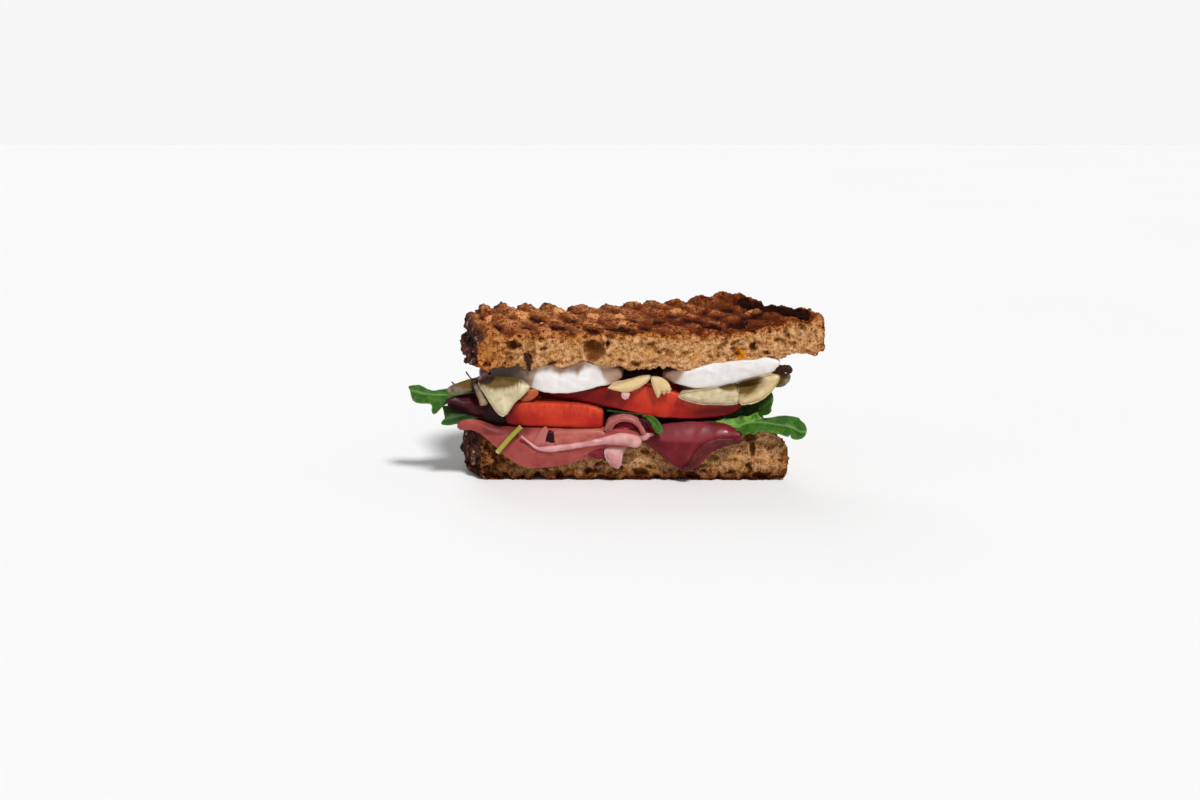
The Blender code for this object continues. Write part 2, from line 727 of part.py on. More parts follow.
    make_leaf(
        "leaf_back_left",
        ((-30.0, 26.0, 29.0), (-38.0, 32.0, 29.0), (-46.0, 37.0, 28.0), (-55.0, 41.0, 25.6)),
        ((0, 1.6), (0.3, 4.0), (0.42, 2.2), (0.6, 5.2), (0.72, 2.6), (0.85, 4.2), (1, 0.6)),
        ((0, 1.6), (0.3, 3.6), (0.42, 2.0), (0.6, 4.8), (0.72, 2.4), (0.85, 3.8), (1, 0.6)),
        14, leaf, *kit, columns=14,
    )

    make_stem("leaf_stalk", (-30.4, -5.9, 21.0), (-35.6, -6.2, 16.4), (-40.2, -5.4, 10.8), 0.9, stalk, *kit)


build()
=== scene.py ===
import math
from types import SimpleNamespace

import bmesh
import bpy
import numpy as np
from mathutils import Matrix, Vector, noise
from mathutils.geometry import delaunay_2d_cdt


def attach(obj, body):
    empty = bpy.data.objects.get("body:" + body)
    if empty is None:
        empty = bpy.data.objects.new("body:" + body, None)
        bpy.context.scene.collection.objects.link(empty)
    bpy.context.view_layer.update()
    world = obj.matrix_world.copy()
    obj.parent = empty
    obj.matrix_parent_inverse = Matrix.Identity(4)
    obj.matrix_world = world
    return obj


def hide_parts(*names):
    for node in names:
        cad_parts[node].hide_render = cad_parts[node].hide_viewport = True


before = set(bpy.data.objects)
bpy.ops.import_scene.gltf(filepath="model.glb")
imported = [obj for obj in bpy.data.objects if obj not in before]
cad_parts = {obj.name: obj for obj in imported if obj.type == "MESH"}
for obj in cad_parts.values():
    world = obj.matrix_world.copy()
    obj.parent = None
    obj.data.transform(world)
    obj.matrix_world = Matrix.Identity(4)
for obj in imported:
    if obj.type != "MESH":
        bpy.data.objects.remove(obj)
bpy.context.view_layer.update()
mm = 0.001
middle = np.array((1.5, 24.2, 0.0))  # the frame's origin in mm, as shapes are drawn here with y 0 at the cut
body = "root"
print("frame loaded")


# node and colour helpers

def screen(red, green, blue):  # a colour as seen on a screen, 0 to 255, as the shader takes it
    values = [v / 255 for v in (red, green, blue)]
    return (*[v / 12.92 if v < 0.04 else ((v + 0.055) / 1.055) ** 2.4 for v in values], 1.0)


class nodeValue:  # what a node gives, so that sums of such values are written as sums
    def __init__(self, tree, node, output=0):
        self.tree, self.node, self.socket = tree, node, node.outputs[output]

    def __getitem__(self, output):  # another output of the same node
        return nodeValue(self.tree, self.node, output)

    def __add__(self, other):
        return calc("ADD", self, other)

    def __sub__(self, other):
        return calc("SUBTRACT", self, other)

    def __rsub__(self, other):
        return calc("SUBTRACT", other, self)

    def __mul__(self, other):
        return calc("MULTIPLY", self, other)

    def __truediv__(self, other):
        return calc("DIVIDE", self, other)

    __radd__, __rmul__ = __add__, __mul__


def feed(tree, socket, value):
    if isinstance(value, nodeValue):
        tree.links.new(value.socket, socket)
    elif socket.type == "VECTOR" and not isinstance(value, tuple):
        socket.default_value = (value, value, value)
    else:
        socket.default_value = value


def addNode(tree, kind, values=None, **settings):
    node = tree.nodes.new(kind)
    for name, value in settings.items():
        setattr(node, name, value)
    for name, value in (values or {}).items():
        feed(tree, node.inputs[name], value)
    return nodeValue(tree, node)


def calc(operation, *values):  # on vectors as soon as one of the values is one
    known = [value for value in values if isinstance(value, nodeValue)]
    isVector = any(value.socket.type in ("VECTOR", "RGBA") for value in known)
    kind = "ShaderNodeVectorMath" if isVector else "ShaderNodeMath"
    return addNode(known[0].tree, kind, dict(enumerate(values)), operation=operation)


def clamped(value):
    return addNode(value.tree, "ShaderNodeClamp", {"Value": value})


def vectorOf(tree, **parts):
    return addNode(tree, "ShaderNodeCombineXYZ", parts)


def split(value):
    return addNode(value.tree, "ShaderNodeSeparateXYZ", {"Vector": value})


def fade(value, start, end, low=0.0, high=1.0, ease="SMOOTHSTEP"):
    names = ("Value", "From Min", "From Max", "To Min", "To Max")
    values = dict(zip(names, (value, start, end, low, high)))
    return addNode(value.tree, "ShaderNodeMapRange", values, interpolation_type=ease)


def mixColour(share, first, second):
    return addNode(share.tree, "ShaderNodeMix", {0: share, 6: first, 7: second}, data_type="RGBA")[2]


def grain(place, scale, detail=2.0, roughness=0.5):
    values = {"Vector": place, "Scale": scale, "Detail": detail, "Roughness": roughness}
    return addNode(place.tree, "ShaderNodeTexNoise", values)["Fac"]


def cells(place, scale):
    return addNode(place.tree, "ShaderNodeTexVoronoi", {"Vector": place, "Scale": scale})


def attribute(tree, name):
    return addNode(tree, "ShaderNodeAttribute", attribute_name=name)["Fac"]


def ramp(share, *stops):  # stops are (place, colour)
    made = addNode(share.tree, "ShaderNodeValToRGB", {"Fac": share})
    marks = made.node.color_ramp.elements
    while len(marks) < len(stops):
        marks.new(0.5)
    for mark, (place, colour) in zip(marks, stops):
        mark.position = place
        mark.color = colour
    return made


def startMaterial(name, settings):
    material = bpy.data.materials.new(name)
    material.use_nodes = True
    tree = material.node_tree
    for key, value in settings.items():
        tree.nodes["Principled BSDF"].inputs[key].default_value = value
    place = addNode(tree, "ShaderNodeTexCoord")["Object"] * (1 / mm)  # in mm
    return material, tree, place


def finishMaterial(material, colour, roughness, height=None, strength=0.5, distance=0.0003):
    tree = material.node_tree
    inputs = tree.nodes["Principled BSDF"].inputs
    feed(tree, inputs["Base Color"], colour)
    feed(tree, inputs["Roughness"], roughness)
    if height is not None:
        values = {"Height": height, "Strength": strength, "Distance": distance}
        feed(tree, inputs["Normal"], addNode(tree, "ShaderNodeBump", values))
    return material


# shape helpers

def smoothStep(value):
    value = np.clip(value, 0.0, 1.0)
    return value * value * (3 - 2 * value)


def curveThrough(points, at):  # smooth height at a place along (place, height) points
    x = np.array([p[0] for p in points], float)
    y = np.array([p[1] for p in points], float)
    at = np.clip(np.asarray(at, float), x[0], x[-1])
    before = np.maximum(np.arange(len(x)) - 1, 0)
    after = np.minimum(np.arange(len(x)) + 1, len(x) - 1)
    slopes = (y[after] - y[before]) / (x[after] - x[before])
    i = np.clip(np.searchsorted(x, at, side="left") - 1, 0, len(x) - 2)
    span = x[i + 1] - x[i]
    s = (at - x[i]) / span
    return (
        y[i] * (1 + 2 * s) * (1 - s) ** 2
        + slopes[i] * span * s * (1 - s) ** 2
        + y[i + 1] * s * s * (3 - 2 * s)
        + slopes[i + 1] * span * s * s * (s - 1)
    )


def ripple(x, y, z, size):  # even noise from -1 to 1 whose bumps are about size across
    x, y, z = np.broadcast_arrays(np.asarray(x, float), y, z)
    flat = np.stack((x.ravel(), y.ravel(), z.ravel()), axis=1) / size
    return np.array([noise.noise(Vector(p)) for p in flat.tolist()]).reshape(x.shape)


def makeObject(name, points, faces, material, attributes=None):
    # points are in mm, y 0 at the cut; attributes are {name: values for each point}
    mesh = bpy.data.meshes.new(name)
    mesh.from_pydata(((np.asarray(points, float) - middle) * mm).tolist(), [], faces)
    work = bmesh.new()
    work.from_mesh(mesh)
    bmesh.ops.recalc_face_normals(work, faces=work.faces)
    work.to_mesh(mesh)
    work.free()
    mesh.shade_smooth()
    mesh.materials.append(material)
    obj = bpy.data.objects.new(name, mesh)
    bpy.context.scene.collection.objects.link(obj)
    for key, values in (attributes or {}).items():
        storePoints(obj, key, values)
    return obj


def settle(obj):  # turns what the modifiers make into a plain mesh
    graph = bpy.context.evaluated_depsgraph_get()
    made = obj.evaluated_get(graph)
    mesh = bpy.data.meshes.new_from_object(made, preserve_all_data_layers=True, depsgraph=graph)
    obj.modifiers.clear()
    obj.data = mesh
    mesh.shade_smooth()
    return obj


def dress(obj, node=None):  # the piece rides on the body and stands for its CAD node
    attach(obj, body)
    if node:
        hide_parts(node)


def placesOf(obj):  # an object's points in mm, y 0 at the cut
    flat = np.zeros(len(obj.data.vertices) * 3, np.float32)
    obj.data.vertices.foreach_get("co", flat)
    return flat.reshape(-1, 3).astype(float) / mm + middle


def normalsOf(obj):
    flat = np.zeros(len(obj.data.vertices) * 3, np.float32)
    obj.data.vertex_normals.foreach_get("vector", flat)
    return flat.reshape(-1, 3).astype(float)


def movePoints(obj, places):
    obj.data.vertices.foreach_set("co", ((places - middle) * mm).astype(np.float32).ravel())
    obj.data.update()


def storePoints(obj, key, values):  # one value for each point, or one for all of them
    layer = obj.data.attributes.new(key, "FLOAT", "POINT")
    values = np.broadcast_to(np.asarray(values, np.float32), len(obj.data.vertices))
    layer.data.foreach_set("value", np.ascontiguousarray(values))


# bread

bread = {
    "ribTurn": math.radians(30),
    "ribPitch": 9.1,
    "ribFirst": 64.4,  # where the first rib lies, measured across the ribs
    "rim": 2.8,
    "corner": 12.0,
    "backStart": (-50.0, 35.0),
    "backEnd": (40.5, 58.6),
    "planSteps": (330, 74),
    "swell": 0.9,  # how far the crust bulges between its two faces
    "seedPlace": (45.1, -0.2, 45.7),  # a yellow seed in the cut
    "sag": (
        (-54, 0.0), (-43, 1.6), (-34, 0.0), (0, 0.0), (18, 0.9), (28, 1.4), (35, -0.6), (60, 0.2),
        (75, 1.4),
    ),
}

topSlice = {
    "name": "breadTop", "node": "bread_top", "end": 64.4, "leftShift": -0.4, "leftSlope": 1.2, "rows": 36,
    "crest": 53.5, "thickness": 12.8, "groove": 2.6, "flat": 0.0, "ribsUp": 1.0, "frontShare": 0.26,
    "lean": 4.0,
    "seed": 0.0,
    "dips": (  # x, y, reach, how far the grilled face sinks there
        (56.5, 28.5, 13.0, 1.7), (0.0, 45.0, 9.0, 0.8), (-39.5, 35.0, 8.0, 1.0), (35.0, 50.0, 7.0, -1.0),
    ),
    "lowerEdge": (  # x, z along the torn lower edge at the cut
        (-46.5, 42.0), (-44.4, 39.7), (-43.1, 38.6), (-42.0, 40.1), (-39.9, 41.1), (-35.3, 40.8),
        (-31.5, 41.1), (-28.7, 39.4), (-26.2, 40.1), (-21.3, 41.2), (-17.8, 40.1), (-15.4, 39.7),
        (-12.5, 41.2), (-9.7, 42.6), (-6.9, 41.5), (-2.7, 40.8), (0.4, 40.8), (3.2, 41.2), (6.0, 39.8),
        (10.2, 40.1), (14.4, 40.1), (17.2, 41.2), (18.3, 39.8), (20.0, 41.2), (24.2, 39.4), (27.7, 39.1),
        (30.2, 40.2), (32.9, 41.2), (38.2, 42.3), (45.2, 42.7), (52.1, 43.7), (55.9, 44.5), (59.5, 43.8),
        (62.6, 45.5), (68.8, 45.5), (71.3, 44.8), (73.0, 46.3),
    ),
    "holes": (  # x, z, half width, half height, depth in mm
        (-34.2, 49.3, 2.6, 2.0, 3.2), (-28.6, 49.0, 2.2, 2.8, 1.2), (-36.0, 45.4, 1.6, 1.2, 1.4),
        (-28.4, 43.4, 1.0, 3.2, 2.2), (-5.7, 46.6, 4.0, 4.4, 3.2), (-0.8, 48.8, 1.0, 1.3, 4.0),
        (14.0, 47.6, 2.4, 1.9, 1.5), (20.5, 46.4, 1.6, 1.6, 1.2), (26.0, 45.6, 1.8, 1.3, 1.1),
        (40.0, 50.6, 1.2, 1.8, 1.2), (49.8, 48.2, 1.0, 2.4, 2.6), (58.5, 50.4, 2.4, 1.6, 1.8),
        (33.0, 50.8, 1.3, 1.6, 0.8), (-24.0, 44.6, 2.0, 0.9, 1.2), (63.0, 49.0, 1.8, 1.2, 1.2),
    ),
    "ribShifts": (  # place across the ribs, how far the real crest lies from an even spacing
        (-35, 1.0), (-25.5, 1.1), (-17.5, 0.0), (-8.3, 0.1), (0.3, -0.4), (11.5, 1.7), (22.3, 3.4),
        (31, 3.0), (38, 1.0), (47, 0.9), (54.5, -0.8), (66, -1.4),
    ),
    "burns": (  # x, y, half width, half depth, how dark, less than nothing for light ones
        (-48.1, 17.1, 1.6, 3.0, 1.0), (-41.7, 8.1, 2.4, 2.6, 0.9), (-41.1, 24.2, 1.8, 4.0, 0.9),
        (-26.5, 15.7, 3.4, 4.2, 1.1), (-29.9, 5.7, 2.2, 2.6, 0.9), (-19.0, 5.1, 3.4, 4.5, 1.3),
        (-14.5, 16.6, 3.6, 5.5, 0.8), (-12.4, 29.4, 2.2, 4.0, 0.9), (-7.2, 3.7, 2.6, 4.6, 1.1),
        (2.1, 3.8, 4.8, 4.6, 1.4), (-4.3, 15.1, 2.2, 3.8, 0.8), (7.6, 16.0, 1.8, 3.4, 0.8),
        (11.8, 5.3, 2.4, 5.0, 1.0), (17.2, 16.0, 2.4, 4.7, 1.1), (22.4, 23.9, 3.4, 4.8, 0.9),
        (25.7, 37.9, 2.2, 4.2, 0.9), (28.7, 15.8, 5.4, 6.0, 1.0), (35.0, 7.4, 4.2, 4.4, 1.6),
        (34.6, 30.7, 2.2, 3.8, 0.9), (44.7, 8.8, 4.2, 4.0, 1.6), (38.9, 21.7, 3.4, 3.2, 0.8),
        (49.6, 13.6, 5.6, 2.7, 0.9), (42.1, 28.4, 2.4, 3.2, 0.7), (48.6, 33.0, 3.4, 4.4, 1.2),
        (52.9, 25.0, 3.8, 5.0, 1.5), (57.3, 16.8, 3.8, 5.2, 1.6), (63.2, 7.2, 4.2, 5.1, 1.5),
        (-44.9, 17.3, 2.4, 3.9, -0.7), (-32.2, 21.5, 3.0, 8.0, -0.9), (-20.1, 32.0, 2.2, 5.6, -0.9),
        (-6.3, 23.8, 2.6, 4.8, -0.7), (3.1, 23.0, 2.2, 4.0, -0.8), (3.6, 13.4, 3.0, 2.6, -0.6),
        (24.3, 32.0, 3.6, 4.9, -0.6), (39.4, 49.5, 2.2, 5.4, -0.5), (51.0, 19.0, 2.6, 2.1, -0.8),
        (66.4, 4.6, 3.8, 4.8, 1.1), (62.2, 12.6, 4.4, 5.8, 1.1), (57.4, 21.4, 4.4, 5.8, 1.1),
        (52.8, 29.4, 4.2, 5.8, 1.0), (48.8, 37.4, 3.4, 4.6, 0.8),
    ),
}

baseSlice = {
    "name": "breadBase", "node": "bread_base", "end": 54.2, "leftShift": 0.0, "leftSlope": 1.7, "rows": 44,
    "thickness": 17.2, "groove": 2.2, "flat": 0.9, "ribsUp": 0.0, "frontShare": 1.0, "lean": 0.0,
    "seed": 41.0, "burns": (), "ribShifts": ((0, 0.0), (1, 0.0)),
    "holes": (
        (-36.5, 10.8, 1.1, 1.2, 1.8), (-44.0, 12.4, 1.0, 3.0, 1.4), (-41.0, 7.0, 1.0, 3.4, 1.6),
        (-42.4, 1.0, 3.2, 1.4, 2.6), (-13.1, 7.7, 2.8, 1.5, 1.6), (-8.3, 3.1, 1.6, 1.4, 2.6),
        (-4.8, 5.4, 1.5, 0.8, 1.6), (-18.5, 1.0, 1.8, 2.2, 2.8), (-24.0, 4.6, 2.6, 1.2, 1.6),
        (12.0, 10.4, 1.6, 1.1, 1.6), (10.7, 2.2, 3.2, 2.2, 3.0), (29.0, 1.4, 2.6, 1.4, 2.4),
        (36.0, 7.6, 2.2, 1.2, 1.2), (44.8, 9.5, 0.8, 1.1, 1.4), (50.3, 11.2, 1.0, 2.8, 2.6),
        (48.8, 5.0, 1.3, 1.8, 2.4), (53.3, 1.2, 3.4, 1.7, 3.0), (42.5, 2.4, 2.0, 1.0, 1.6),
    ),
}


def acrossRibs(x, y):
    return x * math.cos(bread["ribTurn"]) + y * math.sin(bread["ribTurn"])


def blendLowest(a, b, reach):
    share = np.maximum(reach - np.abs(a - b), 0.0) / reach
    return np.minimum(a, b) - share * share * reach / 4


def crustDepth(x, y, piece):  # how far a plan point lies inside the crust
    leftEdge = -46.0 - 0.837 * y + 0.0202 * y * y + piece["leftShift"]
    leftEdge = leftEdge + piece["leftSlope"] * smoothStep(y / 9)
    fromLeft = 0.93 * (x - leftEdge)
    backX = bread["backEnd"][0] - bread["backStart"][0]
    backY = bread["backEnd"][1] - bread["backStart"][1]
    fromBack = backY * (x - bread["backStart"][0]) - backX * (y - bread["backStart"][1])
    fromBack = fromBack / math.hypot(backX, backY) + 1.0 - 0.0007 * (x + 5) ** 2
    fromSides = blendLowest(fromLeft, fromBack, bread["corner"])
    return blendLowest(fromSides, piece["end"] - acrossRibs(x, y), bread["corner"])


def rimDrop(depth):  # how far a face falls away at the rounded rim
    short = bread["rim"] - np.clip(depth, 0.0, bread["rim"])
    return bread["rim"] - np.sqrt(bread["rim"] ** 2 - short**2)


def topCrest(x, y):
    liftRight = 6.4 * smoothStep((x + 0.3 * y - 41) / 32)
    liftLeft = 3.4 * smoothStep((-x - 16) / 32) * y / 35
    return topSlice["crest"] + 0.078 * y + liftRight + liftLeft


def topInner(x, y):  # the underside of the upper slice
    sag = curveThrough(bread["sag"], x) * smoothStep((14 - y) / 12)
    return topCrest(x, y) - topSlice["thickness"] - sag


def sliceHeights(x, y, piece):  # lower and upper face, without ribs
    drop = rimDrop(crustDepth(x, y, piece))
    if piece is topSlice:
        high = topCrest(x, y) + 0.3 * ripple(x, y, 0, 14) - drop
        for dipX, dipY, reach, deep in piece["dips"]:
            high -= deep * smoothStep(1 - np.hypot(x - dipX, y - dipY) / reach)
        drop *= 1 - 0.75 * smoothStep((-x - 38) / 8)
        low = topInner(x, y) + 0.3 + 0.3 * ripple(x, y, 8, 6) + drop
        low += (curveThrough(piece["lowerEdge"], x) - low) * smoothStep((4.5 - y) / 4.5)
    else:
        high = piece["thickness"] - 0.3 + 0.3 * ripple(x, y, 12, 7) - drop
        high += 1.2 * smoothStep((x - 44) / 7) - 4.2 * smoothStep((x - 54) / 9)
        low = (1.3 - 0.7 * smoothStep((-x - 36) / 6)) * drop
    return low, high


def lengthsAlong(line):  # of a line in a plane, up to each of its points
    return np.concatenate(([0.0], np.cumsum(np.hypot(*np.diff(line, axis=0).T))))


def resample(line, shares):
    lengths = lengthsAlong(line)
    at = np.asarray(shares) * lengths[-1]
    return np.stack([np.interp(at, lengths, line[:, k]) for k in range(2)], axis=1)


def planGrid(piece):  # a grid of plan points between the cut and the crust
    centre = np.array((8.0, 22.0))
    angles = np.radians(np.linspace(-40, 220, 2600))
    near, far = np.full(len(angles), 3.0), np.full(len(angles), 130.0)
    for _ in range(34):
        at = (near + far) / 2
        inside = crustDepth(centre[0] + at * np.cos(angles), centre[1] + at * np.sin(angles), piece) > 0
        near, far = np.where(inside, at, near), np.where(inside, far, at)
    line = centre + near[:, None] * np.stack((np.cos(angles), np.sin(angles)), axis=1)
    line = line[line[:, 1] >= 0]
    first = line[0] - (line[1] - line[0]) * line[0, 1] / (line[1, 1] - line[0, 1])
    last = line[-1] - (line[-1] - line[-2]) * line[-1, 1] / (line[-1, 1] - line[-2, 1])
    line = np.vstack((first, line, last))
    backRight = np.argmax(line @ np.array((0.64, 0.77)))
    backLeft = np.argmax(line @ np.array((-0.87, 0.5)))
    stepsX, stepsY = bread["planSteps"]
    u, v = np.linspace(0, 1, stepsX + 1), np.linspace(0, 1, stepsY + 1)
    u = u - 0.45 * np.sin(math.tau * u) / math.tau
    v = v - 0.12 * np.sin(math.pi * v) - 0.5 * np.sin(math.tau * v) / math.tau
    right = resample(line[: backRight + 1], v)
    back = resample(line[backRight : backLeft + 1][::-1], u)
    left = resample(line[backLeft:][::-1], v)
    front = np.stack((left[0, 0] + (right[0, 0] - left[0, 0]) * u, np.zeros(len(u))), axis=1)
    uu, vv = u[:, None, None], v[None, :, None]
    grid = (1 - vv) * front[:, None] + vv * back[:, None] + (1 - uu) * left[None] + uu * right[None]
    grid -= (1 - uu) * (1 - vv) * front[0] + uu * (1 - vv) * front[-1]
    return grid - (1 - uu) * vv * back[0] - uu * vv * back[-1]


def burnsAt(x, y, piece):
    worn = 1.4 * ripple(x, y, 23, 4.0)
    found = np.zeros(np.shape(x))
    for cx, cy, rx, ry, amount in piece["burns"]:
        away = np.hypot((x + worn - cx) / (1.25 * rx), (y - worn - cy) / (1.15 * ry))
        found += amount * smoothStep(1.25 * (1 - away))
    return np.clip(found, -1.0, 1.6)


def ribShift(x, y, piece):
    at, shift = np.array(piece["ribShifts"], float).T
    return np.interp(acrossRibs(x, y), at, shift)


def makeSlice(piece, material):
    grid = planGrid(piece)
    countX, countY = grid.shape[:2]
    x, y = grid[..., 0], grid[..., 1]
    depth = np.maximum(crustDepth(x, y, piece), 0.0)
    low, high = sliceHeights(x, y, piece)
    share = piece["ribsUp"]

    def lean(at):  # the left crust is pressed in above its lower half
        pressed = 1.35 * smoothStep((at - 0.2) / 0.3) - 0.95 * smoothStep((at - 0.72) / 0.2)
        corner = smoothStep(1 - at / 0.3) * smoothStep(y / 1.5) * smoothStep((9 - y) / 5)
        return piece["lean"] * smoothStep((-x - 40) / 12) * (smoothStep(y / 9) * pressed - 0.9 * corner)

    points = [
        np.dstack((x + lean(1.0), y, high)).reshape(-1, 3), np.dstack((x + lean(0.0), y, low)).reshape(-1, 3),
    ]
    frontRow = np.zeros((countX, countY))
    frontRow[:, 0], frontRow[:, 1] = 1.0, 0.45
    cut = [frontRow.ravel()] * 2
    pit = [np.zeros(x.size)] * 2
    ribs = [np.full(x.size, share), np.full(x.size, 1 - share)]
    rimDepth = [depth.ravel()] * 2
    burn = [burnsAt(x, y, piece).ravel() * share, np.full(x.size, 0.3 * (1 - share))]
    shift = [ribShift(x, y, piece).ravel()] * 2
    skinHigh = np.zeros(x.size) if share else np.minimum(depth, piece["thickness"]).ravel()
    skinLow = np.minimum(depth, piece["thickness"]).ravel() if share else np.zeros(x.size)
    skin = [skinHigh, skinLow]

    def upper(i, j):
        return i * countY + j

    ring = [(i, 0) for i in range(countX)] + [(countX - 1, j) for j in range(1, countY)]
    ring += [(i, countY - 1) for i in range(countX - 2, -1, -1)] + [(0, j) for j in range(countY - 2, 0, -1)]
    ringI, ringJ = np.array(ring).T
    outline = grid[ringI, ringJ]
    ahead, behind = np.roll(outline, -1, axis=0), np.roll(outline, 1, axis=0)
    along = ahead - behind
    outwards = np.stack((along[:, 1], -along[:, 0]), axis=1)
    outwards /= np.maximum(np.hypot(*outwards.T), 1e-9)[:, None]
    isCut = (ringJ == 0).astype(float)
    outwards *= (smoothStep(outline[:, 1] / 3.0) * (1 - isCut))[:, None]
    lowEdge, highEdge, rim = low[ringI, ringJ], high[ringI, ringJ], depth[ringI, ringJ]
    rows = piece["rows"]
    for k in range(1, rows):
        at = k / rows
        place = outline + outwards * bread["swell"] * math.sin(math.pi * at)
        z = lowEdge + (highEdge - lowEdge) * at
        place[:, 0] += lean(at)[ringI, ringJ]
        points.append(np.column_stack((place, z)))
        cut.append(isCut)
        warpX = ripple(place[:, 0], 3, z, 2.6) + 0.5 * ripple(place[:, 0], 5, z, 1.1)
        warpZ = ripple(place[:, 0], 17, z, 2.6) + 0.5 * ripple(place[:, 0], 11, z, 1.1)
        deep = np.zeros(len(ring))
        for holeX, holeZ, wide, tall, depthMm in piece["holes"]:
            away = np.hypot((place[:, 0] + warpX - holeX) / wide, (z + warpZ - holeZ) / tall)
            deep = np.maximum(deep, depthMm * np.clip(1 - away**2, 0, 1) ** 0.6)
        pit.append(deep * isCut)
        ribs.append(np.full(len(ring), at if share else 1 - at))
        rimDepth.append(rim)
        fromGrill = (highEdge - z) if share else (z - lowEdge)
        skin.append(np.where(isCut > 0, np.minimum(fromGrill, rim + 1.0), 0.0))
        worn = smoothStep(1 - fromGrill / 2.2) if share else smoothStep(1.4 - fromGrill / 2.6)
        burn.append((burnsAt(place[:, 0], place[:, 1], piece) if share else 1.1) * worn)
        shift.append(ribShift(place[:, 0], place[:, 1], piece))
    faces = []
    for i in range(countX - 1):
        for j in range(countY - 1):
            a, b, c, d = upper(i, j), upper(i + 1, j), upper(i + 1, j + 1), upper(i, j + 1)
            faces.append((a, b, c, d))
            faces.append((d + x.size, c + x.size, b + x.size, a + x.size))
    ringTop = ringI * countY + ringJ
    loops = [ringTop + x.size] + [2 * x.size + k * len(ring) + np.arange(len(ring)) for k in range(rows - 1)]
    loops.append(ringTop)
    for one, two in zip(loops, loops[1:]):
        faces += np.column_stack((one, np.roll(one, -1), np.roll(two, -1), two)).tolist()
    attributes = {
        "cut": np.concatenate(cut), "ribShare": np.concatenate(ribs),
        "rimDepth": np.concatenate(rimDepth), "skin": np.concatenate(skin), "pit": np.concatenate(pit),
        "burn": np.concatenate(burn), "ribShift": np.concatenate(shift),
    }
    return makeObject(piece["name"], np.vstack(points), faces, material, attributes)


crumb = {
    "Rib Pitch": bread["ribPitch"], "Rib Turn": bread["ribTurn"], "Rib First": bread["ribFirst"],
    "Groove": 3.1, "Flat": 0.0, "Up": 1.0, "Front Share": 1.0,
    "Hole Size": 1.0, "Hole Depth": 1.0, "Crag": 0.55, "Tear": 0.5, "Seed": 0.0,
}

holeLayers = (  # cells in each mm, smallest and largest radius as a share of a cell, depth in mm
    (0.13, 0.04, 0.30, 2.6), (0.30, 0.12, 0.44, 1.7), (0.66, 0.16, 0.50, 0.75), (1.40, 0.16, 0.50, 0.28),
)


def newTree(name, numbers):
    tree = bpy.data.node_groups.new(name, "GeometryNodeTree")
    tree.interface.new_socket(name="Geometry", in_out="INPUT", socket_type="NodeSocketGeometry")
    for key, value in numbers.items():
        socket = tree.interface.new_socket(name=key, in_out="INPUT", socket_type="NodeSocketFloat")
        socket.default_value = value
    tree.interface.new_socket(name="Material", in_out="INPUT", socket_type="NodeSocketMaterial")
    tree.interface.new_socket(name="Geometry", in_out="OUTPUT", socket_type="NodeSocketGeometry")
    return tree, addNode(tree, "NodeGroupInput")


def endTree(geometry, given):
    tree = geometry.tree
    plain = addNode(tree, "GeometryNodeRealizeInstances", {"Geometry": geometry})
    values = {"Geometry": plain, "Material": given["Material"]}
    result = tree.nodes.new("NodeGroupOutput")
    feed(tree, result.inputs["Geometry"], addNode(tree, "GeometryNodeSetMaterial", values))
    return tree


def namedValue(tree, name):
    return addNode(tree, "GeometryNodeInputNamedAttribute", {"Name": name}, data_type="FLOAT")


def storeValue(geometry, name, value):
    values = {"Geometry": geometry, "Name": name, "Value": value}
    kind = "GeometryNodeStoreNamedAttribute"
    return addNode(geometry.tree, kind, values, data_type="FLOAT", domain="POINT")


def moveBy(geometry, offset):  # offset in mm
    return addNode(geometry.tree, "GeometryNodeSetPosition", {"Geometry": geometry, "Offset": offset * mm})


def signedGrain(place, scale, detail=2.0):
    return 2.0 * grain(place, scale, detail) - 1.0


def ribsPressed(tree, given, place):  # how hard the grill's ribs press, and how deep they go in
    parts = split(place)
    across = parts["X"] * calc("COSINE", given["Rib Turn"]) + parts["Y"] * calc("SINE", given["Rib Turn"])
    inland = fade(namedValue(tree, "rimDepth"), 3.0, 15.0)
    wobble = signedGrain(place, 0.07, 3.0) * (3.6 * inland + 0.9)
    across = across - given["Rib First"] + (wobble - namedValue(tree, "ribShift"))
    wave = clamped(0.5 * calc("COSINE", across / given["Rib Pitch"] * math.tau) + 0.5)
    pressed = 1.0 - calc("POWER", wave, 0.75)
    uneven = 1.1 * signedGrain(place, 0.09) + 1.0
    nearCut = fade(inland, 1.0, 0.0, given["Front Share"], 1.0, "LINEAR")
    groove = pressed * given["Groove"] * uneven * nearCut
    return pressed, calc("MAXIMUM", groove - given["Flat"], 0.0) * namedValue(tree, "ribShare")


def deepestHole(given, place):
    deepest = 0.0
    for scale, smallest, largest, deep in holeLayers:
        found = cells(place, scale)
        spread = calc("POWER", split(found["Color"])["X"], 1.6)
        radius = (spread * (largest - smallest) + smallest) * given["Hole Size"]
        away = found["Distance"] / radius
        hollow = calc("POWER", clamped(1.0 - away * away), 0.6) * deep * (0.7 * spread + 0.3)
        deepest = calc("MAXIMUM", deepest, hollow)
    return deepest * given["Hole Depth"]


